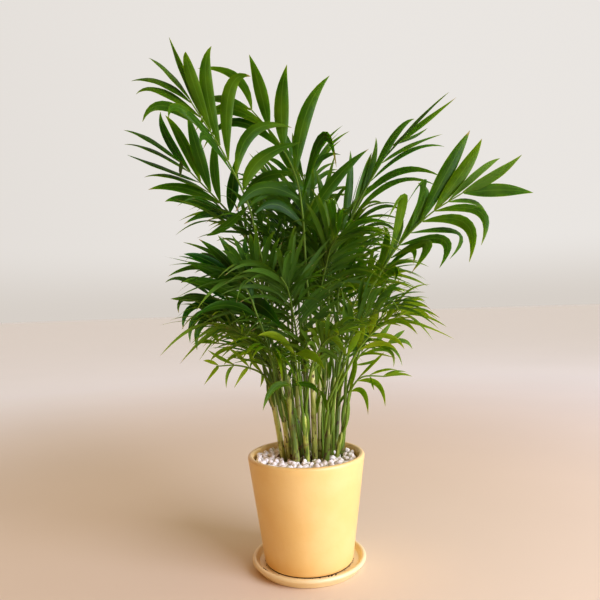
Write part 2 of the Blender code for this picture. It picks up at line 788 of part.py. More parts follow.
def ruled_leaflet(plan, pair, pairs, side, draw):
    # Returns tip, middle, width and face of a leaflet that follows the frond's own curve
    length = plan["frond"][5]
    share = pair / (pairs - 1)
    root, along, up, right, _ = rachis_point(plan, plan["stations"][pair])
    long = length * (0.70 + 0.42 * math.sin(math.pi * (0.2 + 0.62 * share))) * draw.uniform(0.78, 1.12)
    angle = math.radians(62 - 38 * share + draw.uniform(-LEAFLET_STRAY, LEAFLET_STRAY))
    heading = along * math.cos(angle) + right * side * math.sin(angle) + up * draw.uniform(-0.2, 0.25)
    heading.normalize()
    lift = draw.uniform(0.0, 0.16)
    droop = draw.uniform(*LEAFLET_DROOP)
    middle = root + heading * long * 0.5 + up * long * lift
    tip = root + heading * long + up * long * lift * 0.6 - Vector((0, 0, long * droop))
    lean = draw.uniform(-0.7, 0.7)
    face = (up + along * lean - right * side * draw.uniform(-0.3, 0.6)).normalized()
    width = draw.uniform(*LEAFLET_WIDTH) * (0.85 + 0.25 * share)
    return tip, middle, width, face


def traced_leaflet(plan, leaflet, side):
    across, up, depth, mid_across, mid_up, width, turn = leaflet
    root = plan["root"]
    root_depth = root.y
    tip = seen_at(across, up, depth)
    middle = seen_at(mid_across, mid_up, root_depth + (depth - root_depth) * 0.45)
    sight = (EYE - middle).normalized()
    run = (tip - root).normalized()
    flat = (sight - run * sight.dot(run)).normalized()
    choices = [Matrix.Rotation(math.radians(turn * way), 3, run) @ flat for way in (1, -1)]
    face = max(choices, key=lambda normal: abs(normal.dot(plan["up"])))
    return tip, middle, width, face


def blade_sections(root, middle, tip, width, face, along, side, shape, extra):
    # Cross-sections of a leaflet: lower edge, raised rib, upper edge and underside
    sections = []
    for t, share in shape:
        point = root * (1 - t) * (1 - 2 * t) + middle * 4 * t * (1 - t) + tip * t * (2 * t - 1)
        run = (root * (4 * t - 3) + middle * (4 - 8 * t) + tip * (4 * t - 1)).normalized()
        normal = (face - run * face.dot(run)).normalized()
        across = normal.cross(run) * side
        half = across * (width * share / 2 + extra)
        if share == 0:
            sections.append([point + run * extra])
            continue
        sag = normal * (width * share * BLADE_FOLD)
        sections.append(
            [
                point - half - sag,
                point + normal * (BLADE_TOP + extra),
                point + half - sag,
                point - normal * (BLADE_BOTTOM + extra),
            ]
        )
    return sections


# Where along a leaflet its cross-sections lie, and their share of its full width
LONG_LEAFLET = 50
LONG_SHAPE = ((0.16, 0.42), (0.42, 1.0), (0.76, 0.66), (1.0, 0))
SHORT_SHAPE = ((0.18, 0.52), (0.52, 1.0), (1.0, 0))
RULED_SHAPE = ((0.42, 1.0), (1.0, 0))


def skin_sections(sections, points, faces, side):
    # Joins cross-sections with triangles that are split alike on both faces; returns the first section's indices
    rings = []
    for section in sections:
        rings.append(list(range(len(points), len(points) + len(section))))
        points += section
    for ring, after in zip(rings, rings[1:]):
        join_rings(ring, after, faces, side)
    return rings[0]


def join_rings(ring, after, faces, side):
    lower, top, upper, bottom = ring
    if len(after) == 1:
        tip = after[0]
        made = [(lower, top, tip), (top, upper, tip), (upper, bottom, tip), (bottom, lower, tip)]
    else:
        lower2, top2, upper2, bottom2 = after
        made = [
            (lower, top, top2), (lower, top2, lower2),
            (top, upper, top2), (upper, upper2, top2),
            (upper, bottom, bottom2), (upper, bottom2, upper2),
            (bottom, lower, bottom2), (lower, lower2, bottom2),
        ]
    faces += [face if side < 0 else tuple(reversed(face)) for face in made]


def bvh_of(points, faces):
    return BVHTree.FromPolygons([tuple(p) for p in points], faces, epsilon=0.0)


def root_ring(plan, pair, side):
    station = plan["stations"][pair]
    half = plan["insert"]
    ring = []
    for offset, axis in ((-half, "side"), (0, "up"), (half, "side"), (0, "down")):
        point, _, up, right, radius = rachis_point(plan, station + offset)
        if axis == "side":
            ring.append(point + right * side * radius)
        else:
            ring.append(point + up * radius * (1 if axis == "up" else -1))
    return ring


def place_leaflet(plan, pair, side, leaflet, obstacles, own, draw):
    # Bends the leaflet clear of what is already there, or shortens it; returns its cross-sections
    station = plan["stations"][pair]
    centre, along, up, right, radius = rachis_point(plan, station)
    root = centre + right * side * radius
    plan["root"] = root
    plan["up"] = up
    if plan["traced"]:
        tip, middle, width, face = traced_leaflet(plan, leaflet, side)
        shape = LONG_SHAPE if (tip - root).length > LONG_LEAFLET else SHORT_SHAPE
    else:
        tip, middle, width, face = ruled_leaflet(plan, pair, len(plan["stations"]), side, draw)
        shape = RULED_SHAPE
    run = (middle - root).normalized()
    if (face.cross(run) * side).dot(along) < 0:
        face = -face
    sight = (EYE - tip).normalized() if plan["traced"] else face
    ring = root_ring(plan, pair, side)
    for scale, swing, push in BENDS:
        new_tip = root + (tip - root) * scale + sight * push + along * swing
        new_middle = root + (middle - root) * scale + sight * push * 0.42 + along * swing * 0.42
        new_width = width * (0.4 + 0.6 * scale)
        sections = blade_sections(root, new_middle, new_tip, new_width, face, along, side, shape, 0)
        tests = blade_sections(root, new_middle, new_tip, new_width, face, along, side, shape, TEST_EXTRA)
        points, faces = [], []
        skin_sections([ring] + tests, points, faces, side)
        whole = bvh_of(points, faces)
        if any(whole.overlap(other) for other in obstacles):
            continue
        points, faces = [], []
        skin_sections(tests, points, faces, side)
        outer = bvh_of(points, faces)
        if any(outer.overlap(other) for other in own):
            continue
        points, faces = [], []
        skin_sections([ring] + sections, points, faces, side)
        return sections, bvh_of(points, faces)
    return None, None


def set_stations(plan):
    # Where the pairs of leaflets leave the stalk, as places along its path
    pairs = len(plan["frond"]["right"]) if plan["traced"] else plan["frond"][4]
    last = len(plan["path"]) - 1
    plan["insert"] = STALK_INSERT / STEP
    first = min(plan["leafy_from"], last - 3)
    end = last - plan["insert"] - 0.15
    gaps = max(1, pairs - 1)
    plan["stations"] = [end - (end - first) * (pairs - 1 - pair) / gaps for pair in range(pairs)]


def stalk_skin(plan):
    # The stalk's stations: plain ones, and three for each pair of leaflets
    places = [(i, "plain") for i in range(0, int(plan["stations"][0] - 1.2), STALK_STRIDE)]
    for station in plan["stations"]:
        places += [(station - plan["insert"], "plain"), (station, "pair"), (station + plan["insert"], "plain")]
    points, rings = [], []
    for place, kind in places:
        point, _, up, right, radius = rachis_point(plan, place)
        corners = [point + up * radius, point - up * radius]
        if kind == "plain":
            corners = [point + right * radius, point + up * radius, point - right * radius, point - up * radius]
        rings.append((kind, list(range(len(points), len(points) + len(corners)))))
        points += corners
    return points, rings


def frond_mesh(plan, obstacles):
    draw = random.Random(plan["name"])
    frond = plan["frond"]
    points, rings = stalk_skin(plan)
    own = [plan["stalk_tree"]]
    leaflets = {}
    for pair in reversed(range(len(plan["stations"]))):
        for side, which in ((1, "right"), (-1, "left")):
            leaflet = frond[which][pair] if plan["traced"] else True
            if leaflet is None:
                continue
            sections, tree = place_leaflet(plan, pair, side, leaflet, obstacles, own, draw)
            if sections is None:
                continue
            leaflets[(pair, side)] = sections
            own.append(tree)
    faces = [tuple(rings[0][1]), tuple(reversed(rings[-1][1]))]
    faces += stalk_faces(rings, lambda pair, side: (pair, side) in leaflets)
    roots = pair_rings(rings)
    for (pair, side), sections in leaflets.items():
        before, middle, after = roots[pair]
        corner = 0 if side > 0 else 2
        first_ring = skin_sections(sections, points, faces, side)
        join_rings([before[corner], middle[0], after[corner], middle[1]], first_ring, faces, side)
    return mesh_of(plan["name"], points, faces), bvh_of(points, faces)


def pair_rings(rings):
    found = []
    for index, (kind, ring) in enumerate(rings):
        if kind == "pair":
            found.append((rings[index - 1][1], ring, rings[index + 1][1]))
    return found


def stalk_faces(rings, has_leaflet):
    # Rings of four corners (right, top, left, bottom) joined along the stalk; at a pair the sides may be open
    faces = []
    pair = -1
    for (kind, ring), (next_kind, after) in zip(rings, rings[1:]):
        if kind == "plain" and next_kind == "plain":
            for a, b in ((0, 1), (1, 2), (2, 3), (3, 0)):
                faces += [(ring[a], after[b], ring[b]), (ring[a], after[a], after[b])]
        elif next_kind == "pair":
            pair += 1
            top, bottom = after
            faces += [(ring[0], top, ring[1]), (ring[1], top, ring[2])]
            faces += [(ring[2], bottom, ring[3]), (ring[3], bottom, ring[0])]
            before = ring
        else:
            top, bottom = ring
            faces += [(after[1], top, after[0]), (after[2], top, after[1])]
            faces += [(after[3], bottom, after[2]), (after[0], bottom, after[3])]
            if not has_leaflet(pair, 1):
                faces += [(before[0], after[0], top), (before[0], bottom, after[0])]
            if not has_leaflet(pair, -1):
                faces += [(before[2], top, after[2]), (before[2], after[2], bottom)]
    return faces


def build():
    clear_scene()
    materials = make_materials()
    add_object("saucer", saucer_mesh(), materials["saucer_ceramic"])
    add_object("pot", pot_mesh(), materials["ceramic"])
    soil = add_object("soil", soil_mesh(), materials["soil"])
    pebbles = add_object("pebbles", pebble_mesh(), materials["pebbles"])
    cutters = [cane_cutter(number, cane) for number, cane in enumerate(CANES, 1)]
    cut_holes(soil, cutters)
    cut_holes(pebbles, cutters)
    obstacles = []
    for number, cane in enumerate(CANES, 1):
        path = cane_path(cane)
        mesh = tube_mesh(f"cane_{number:02d}", path, cane_radii(cane, path), CANE_SIDES)
        mesh.shade_smooth()
        add_object(mesh.name, mesh, materials["cane"])
        points = [v.co / MM for v in mesh.vertices]
        obstacles.append(bvh_of(points, [tuple(p.vertices) for p in mesh.polygons]))
    plans = plan_fronds()
    part_stalks(plans)
    for plan in plans:
        set_stations(plan)
        points, rings = stalk_skin(plan)
        plan["stalk_tree"] = bvh_of(points, stalk_faces(rings, lambda pair, side: False))
    for plan in plans:
        stalks = [other["stalk_tree"] for other in plans if other is not plan]
        mesh, tree = frond_mesh(plan, obstacles + stalks)
        add_object(plan["name"], mesh, materials["leaf"])
        obstacles.append(tree)


build()
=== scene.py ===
import itertools
import json
import math
import random

import bmesh
import bpy
from mathutils import Matrix, Vector
from mathutils.bvhtree import BVHTree
from mathutils.kdtree import KDTree

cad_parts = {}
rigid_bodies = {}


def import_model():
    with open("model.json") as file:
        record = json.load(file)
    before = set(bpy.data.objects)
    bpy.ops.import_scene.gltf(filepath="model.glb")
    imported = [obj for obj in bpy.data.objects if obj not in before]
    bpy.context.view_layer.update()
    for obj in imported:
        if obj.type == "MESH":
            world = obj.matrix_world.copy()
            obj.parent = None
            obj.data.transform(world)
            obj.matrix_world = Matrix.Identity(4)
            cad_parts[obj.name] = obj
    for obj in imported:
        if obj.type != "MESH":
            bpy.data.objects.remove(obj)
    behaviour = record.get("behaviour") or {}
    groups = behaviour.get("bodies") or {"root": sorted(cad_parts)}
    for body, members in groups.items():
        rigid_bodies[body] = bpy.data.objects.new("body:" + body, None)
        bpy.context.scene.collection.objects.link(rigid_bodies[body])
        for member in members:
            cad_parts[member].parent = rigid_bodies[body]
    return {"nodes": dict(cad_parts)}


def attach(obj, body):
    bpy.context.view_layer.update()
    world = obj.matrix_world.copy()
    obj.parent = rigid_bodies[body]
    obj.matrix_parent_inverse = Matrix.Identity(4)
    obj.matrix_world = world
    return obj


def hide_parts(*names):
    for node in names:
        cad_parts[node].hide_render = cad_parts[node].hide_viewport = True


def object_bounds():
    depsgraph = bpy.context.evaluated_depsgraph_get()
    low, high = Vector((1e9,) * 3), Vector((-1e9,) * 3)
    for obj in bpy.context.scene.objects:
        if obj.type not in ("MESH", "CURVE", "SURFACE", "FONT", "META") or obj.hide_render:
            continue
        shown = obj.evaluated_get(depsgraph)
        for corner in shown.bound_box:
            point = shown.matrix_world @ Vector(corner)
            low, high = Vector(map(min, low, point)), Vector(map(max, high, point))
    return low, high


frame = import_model()
cadBox = [list(corner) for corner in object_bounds()]
print("frame loaded:", len(frame["nodes"]), "nodes")

mm = 0.001
fullTurn = 2 * math.pi
eye = Vector((-1.2, -563.5, 259.4))  # where the front elevation is seen from


def addObject(name, data):
    thing = bpy.data.objects.new(name, data)
    bpy.context.scene.collection.objects.link(thing)
    return thing


def finishPiece(piece, slotName, *nodeNames):
    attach(piece, "root")
    if nodeNames:
        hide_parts(*nodeNames)


def meshOf(name, shape, material=None, sharpFrom=None):
    # Ends a bmesh as a mesh, smooth up to the angle where one is given
    mesh = bpy.data.meshes.new(name)
    shape.to_mesh(mesh)
    shape.free()
    if sharpFrom:
        mesh.shade_smooth()
        mesh.set_sharp_from_angle(angle=math.radians(sharpFrom))
    if material:
        mesh.materials.append(material)
    return mesh


# Node helpers: fill() sets or links a node's inputs, and put() adds a node with its own settings and inputs
def fill(tree, node, inputs):
    for label, source in inputs.items():
        if isinstance(source, bpy.types.NodeSocket):
            tree.links.new(source, node.inputs[label])
        else:
            node.inputs[label].default_value = source


def put(tree, kind, inputs=None, **settings):
    node = tree.nodes.new(kind)
    for key, value in settings.items():
        setattr(node, key, value)
    fill(tree, node, inputs or {})
    return node.outputs[0]


def calc(tree, operation, first, second=0.0, clamp=False):
    return put(tree, "ShaderNodeMath", {0: first, 1: second}, operation=operation, use_clamp=clamp)


def times(tree, first, *factors):
    for factor in factors:
        first = calc(tree, "MULTIPLY", first, factor)
    return first


def plus(tree, first, second):
    return calc(tree, "ADD", first, second)


def minus(tree, first, second):
    return calc(tree, "SUBTRACT", first, second)


def mapRange(tree, value, inputs, kind="LINEAR"):
    # Inputs 1 and 2 are the range read, 3 and 4 the range given
    return put(tree, "ShaderNodeMapRange", {"Value": value, **inputs}, interpolation_type=kind)


def named(tree, name, kind="FLOAT"):
    return put(tree, "GeometryNodeInputNamedAttribute", {"Name": name}, data_type=kind)


def newTree(name, inputs):
    tree = bpy.data.node_groups.new(name, "GeometryNodeTree")
    tree.interface.new_socket("Geometry", in_out="INPUT", socket_type="NodeSocketGeometry")
    for label, value in inputs.items():
        kind = "NodeSocket" + type(value).__name__.capitalize()
        tree.interface.new_socket(label, in_out="INPUT", socket_type=kind).default_value = value
    tree.interface.new_socket("Geometry", in_out="OUTPUT", socket_type="NodeSocketGeometry")
    return tree, tree.nodes.new("NodeGroupInput").outputs


def smoothOver(tree, mesh, angle):
    # Smooth faces, with sharp edges wherever two faces meet at more than the angle
    kind = "GeometryNodeSetShadeSmooth"
    smooth = put(tree, kind, {"Geometry": mesh, "Shade Smooth": True}, domain="FACE")
    sharp = calc(tree, "GREATER_THAN", put(tree, "GeometryNodeInputMeshEdgeAngle"), math.radians(angle))
    return put(tree, kind, {"Geometry": smooth, "Selection": sharp, "Shade Smooth": False}, domain="EDGE")


def closeTree(tree, geometry, material, angle):
    realized = put(tree, "GeometryNodeRealizeInstances", {"Geometry": smoothOver(tree, geometry, angle)})
    finished = put(tree, "GeometryNodeSetMaterial", {"Geometry": realized, "Material": material})
    tree.links.new(finished, tree.nodes.new("NodeGroupOutput").inputs["Geometry"])
    return tree


def growPiece(name, mesh, tree):
    # Runs a tree on a mesh and keeps the result as a plain mesh at the origin
    grower = addObject(name + "Grower", mesh)
    grower.modifiers.new(tree.name, "NODES").node_group = tree
    evaluated = grower.evaluated_get(bpy.context.evaluated_depsgraph_get())
    grown = bpy.data.meshes.new_from_object(evaluated)
    grown.name = name
    bpy.data.objects.remove(grower)
    return addObject(name, grown)


def chainMesh(name, chains):
    # A mesh of open chains of points; every value beside the place becomes an attribute
    points = [point for chain in chains for point in chain]
    edges, start = [], 0
    for chain in chains:
        edges += [(index, index + 1) for index in range(start, start + len(chain) - 1)]
        start += len(chain)
    mesh = bpy.data.meshes.new(name)
    mesh.from_pydata([point["at"] * mm for point in points], edges, [])
    kinds = {Vector: "FLOAT_VECTOR", float: "FLOAT", int: "INT"}
    for key, value in list(points[0].items())[1:]:
        data = mesh.attributes.new(key, kinds[type(value)], "POINT").data
        if type(value) is Vector:
            data.foreach_set("vector", [part for point in points for part in point[key]])
        else:
            data.foreach_set("value", [point[key] for point in points])
    return mesh


# Shader helpers
def newMaterial(name):
    material = bpy.data.materials.new(name)
    material.use_nodes = True
    return material, material.node_tree, material.node_tree.nodes["Principled BSDF"]


def attribute(tree, name):
    node = tree.nodes.new("ShaderNodeAttribute")
    node.attribute_name = name
    return node.outputs["Fac"]


def objectNoise(tree, scale, detail=3.0, stretch=(1, 1, 1), roughness=0.5):
    # Noise on object coordinates; scale is in features per metre
    coordinates = tree.nodes.new("ShaderNodeTexCoord").outputs["Object"]
    mapped = put(tree, "ShaderNodeMapping", {"Vector": coordinates, "Scale": stretch})
    inputs = {"Vector": mapped, "Scale": scale, "Detail": detail, "Roughness": roughness}
    return put(tree, "ShaderNodeTexNoise", inputs)


def ramp(tree, factor, *stops, smooth=False):
    node = tree.nodes.new("ShaderNodeValToRGB")
    node.color_ramp.interpolation = "EASE" if smooth else "LINEAR"
    elements = node.color_ramp.elements
    while len(elements) < len(stops):
        elements.new(0.5)
    for element, (place, value) in zip(elements, stops):
        element.position = place
        element.color = (*value, 1) if isinstance(value, tuple) else (value, value, value, 1)
    tree.links.new(factor, node.inputs["Fac"])
    return node.outputs["Color"]


def mixColours(tree, factor, first, second, blend="MIX"):
    node = tree.nodes.new("ShaderNodeMix")
    node.data_type = "RGBA"
    node.blend_type = blend
    colours = [(*colour, 1) if isinstance(colour, tuple) else colour for colour in (first, second)]
    fill(tree, node, {0: factor, 6: colours[0], 7: colours[1]})
    return node.outputs[2]


def bump(tree, height, distance, strength):
    inputs = {"Distance": distance, "Strength": strength, "Height": height}
    return put(tree, "ShaderNodeBump", inputs)


# The pot and its saucer: turned shapes in one satin glaze
potSizes = dict(
    sides=160, facet=4.0, rimRadius=60.0, footRadius=44.9, footZ=6.0, rimZ=113.2,
    wall=5.4, floor=7.0, footBend=2.5, innerBend=4.0, drainRadius=6.0,
)
saucerSizes = dict(
    rimRadius=57.9, footRadius=50.2, rimZ=10.5, wall=4.6, floorRadius=50.5, footBend=3.2, gap=0.3,
)
glazeLooks = dict(
    pot=(0.89, 0.64, 0.225), saucer=(0.87, 0.715, 0.36), cloud=(0.97, 0.93, 0.82), speck=(0.45, 0.22, 0.07),
    roughness=(0.44, 0.56), coat=0.8, coatRoughness=0.5,
)


def arc(x, z, radius, start, end, steps):
    angles = [math.radians(start + (end - start) * step / steps) for step in range(steps + 1)]
    return [(x + radius * math.cos(angle), z + radius * math.sin(angle)) for angle in angles]


def subdivide(profile, spacing):
    # Adds points on the straight stretches, so that the turned faces stay near square
    points = []
    for a, b in zip(profile, profile[1:]):
        steps = max(1, round(math.dist(a, b) / spacing))
        points += [(a[0] + (b[0] - a[0]) * k / steps, a[1] + (b[1] - a[1]) * k / steps) for k in range(steps)]
    return points + [profile[-1]]


def turn(name, profile, closed, material):
    shape = bmesh.new()
    verts = [shape.verts.new((r * mm, 0.0, z * mm)) for r, z in profile]
    edges = [shape.edges.new(ends) for ends in zip(verts, verts[1:] + verts[:1] * closed)]
    course = dict(cent=(0, 0, 0), axis=(0, 0, 1), angle=fullTurn, steps=potSizes["sides"])
    bmesh.ops.spin(shape, geom=verts + edges, use_merge=True, **course)
    bmesh.ops.remove_doubles(shape, verts=shape.verts, dist=0.000001)
    bmesh.ops.recalc_face_normals(shape, faces=shape.faces)
    return addObject(name, meshOf(name, shape, material, 40))


def outerRadius(z):
    share = (z - potSizes["footZ"]) / (potSizes["rimZ"] - potSizes["footZ"])
    return potSizes["footRadius"] + (potSizes["rimRadius"] - potSizes["footRadius"]) * share


def potProfile():
    footZ, bend, inner, drain = (potSizes[key] for key in ("footZ", "footBend", "innerBend", "drainRadius"))
    lip = potSizes["wall"] / 2
    lipZ, floorZ = potSizes["rimZ"] - lip, footZ + potSizes["floor"]
    bendZ, innerZ = footZ + bend, floorZ + inner
    profile = [(drain, footZ), (potSizes["footRadius"] - bend, footZ)]
    profile += arc(outerRadius(bendZ) - bend, bendZ, bend, -75, 0, 8)
    profile += arc(outerRadius(lipZ) - lip, lipZ, lip, 0, 180, 20)
    profile += [(outerRadius(innerZ) - potSizes["wall"], innerZ)]
    profile += arc(outerRadius(floorZ) - potSizes["wall"] - inner, innerZ, inner, -15, -90, 6)
    return subdivide(profile + [(drain, floorZ)], potSizes["facet"])


def saucerProfile():
    rim, foot, bend = saucerSizes["wall"] / 2, saucerSizes["footRadius"], saucerSizes["footBend"]
    floorZ = potSizes["footZ"] - saucerSizes["gap"]
    profile = [(0, 0), (foot, 0)] + arc(foot, bend, bend, -75, -20, 5)
    profile += arc(saucerSizes["rimRadius"] - rim, saucerSizes["rimZ"] - rim, rim, -15, 165, 18)
    return subdivide(profile + [(saucerSizes["floorRadius"], floorZ), (0, floorZ)], potSizes["facet"])


def glaze(name, colour):
    # Cloudy glaze with a few fine specks, softly uneven to the touch
    material, tree, shader = newMaterial(name)
    cloud = ramp(tree, objectNoise(tree, 22, 4), (0.35, 0.0), (0.68, 1.0), smooth=True)
    body = mixColours(tree, cloud, tuple(c * f for c, f in zip(colour, glazeLooks["cloud"])), colour)
    specks = ramp(tree, objectNoise(tree, 1500, 1), (0.74, 0.0), (0.78, 1.0))
    low, high = glazeLooks["roughness"]
    fill(tree, shader, {
        "Base Color": mixColours(tree, times(tree, specks, 0.35), body, glazeLooks["speck"]),
        "Roughness": mapRange(tree, objectNoise(tree, 90, 3), {3: low, 4: high}),
        "Specular IOR Level": 0.5,
        "Coat Weight": glazeLooks["coat"],
        "Coat Roughness": glazeLooks["coatRoughness"],
        "Normal": bump(tree, objectNoise(tree, 180, 4), 0.0004, 0.25),
    })
    return material


glazedPot = turn("glazedPot", potProfile(), True, glaze("potGlaze", glazeLooks["pot"]))
glazedSaucer = turn("glazedSaucer", saucerProfile(), False, glaze("saucerGlaze", glazeLooks["saucer"]))
finishPiece(glazedPot, "pot", "pot")
finishPiece(glazedSaucer, "saucer", "saucer")
print("pot and saucer made")


# The layout of canes and fronds, in millimetres, as the solids have it
caneSizes = dict(groundZ=95.0, endZ=72.0, levelZ=108.0, spacing=24.0, bow=6.0, footLean=0.45)
stalkSizes = dict(
    ring=2.1, lift=0.8, radius=1.55, leafyRadius=1.1, apexRadius=0.6, play=1.4, insert=0.5, root=10.0,
    stride=7, easingRounds=160, easingReach=10, easedEnough=0.3,
)
pace = 4.0  # between the points of a stalk's path
coarseBlade = dict(
    top=0.5, bottom=0.35, fold=0.07, testExtra=0.45, bendShare=0.42, longFrom=50,
    longShape=((0.16, 0.42), (0.42, 1.0), (0.76, 0.66), (1.0, 0)),
    shortShape=((0.18, 0.52), (0.52, 1.0), (1.0, 0)),
    ruledShape=((0.42, 1.0), (1.0, 0)),
)
# Ranges for leaflets that follow a rule: width in mm, angles in degrees, the rest in shares of the length
leafletRules = dict(
    width=(6.6, 9.2), length=(0.78, 1.12), stray=(-11, 11), climb=(-0.2, 0.25), lift=(0.0, 0.16),
    droop=(0.04, 0.38), lean=(-0.7, 0.7), tilt=(-0.3, 0.6), roll=(-36, 36),
)
# Ways to bend a leaflet clear of the rest, mildest first: scale, swing along the stalk, push out of its plane
pushes = (0, 5, -5, 10, -10, 16, -16, 23, -23, 31, -31)
bends = list(itertools.product((1.0, 0.86, 0.7, 0.55), (0, 8, -8), pushes))

# Each cane: foot across and away at the pebbles, top across, away and up, radius at the foot and at the top
caneRows = (
    (-23, 1, -35, -1, 184, 3.1, 2.6), (-18, 11, -27, 16, 200, 2.9, 2.5), (-9.5, -15, -17, -22, 196, 3.7, 2.9),
    (-3, 3, -8, -2, 148, 2.9, 2.5), (3, 25, 2, 36, 212, 3.4, 2.7), (9, -3, 9, -11, 204, 3.0, 2.6),
    (15, 8, 17, 10, 214, 2.9, 2.5), (19.5, -13, 25, -20, 158, 3.4, 2.8), (31, 24, 41, 32, 198, 3.3, 2.6),
    (37, 12, 44, 13, 160, 3.0, 2.5), (-12, 22, -18, 31, 152, 2.9, 2.4), (18, 30, 24, 46, 203, 3.1, 2.6),
    (31, -2, 37, -7, 134, 2.3, 2.0), (-15, -5, -25, -12, 170, 2.8, 2.4), (1, -13, -1, -25, 158, 2.9, 2.5),
    (25, 9, 33, 7, 188, 2.8, 2.4), (-5, 14, -9, 17, 190, 2.7, 2.4),
)

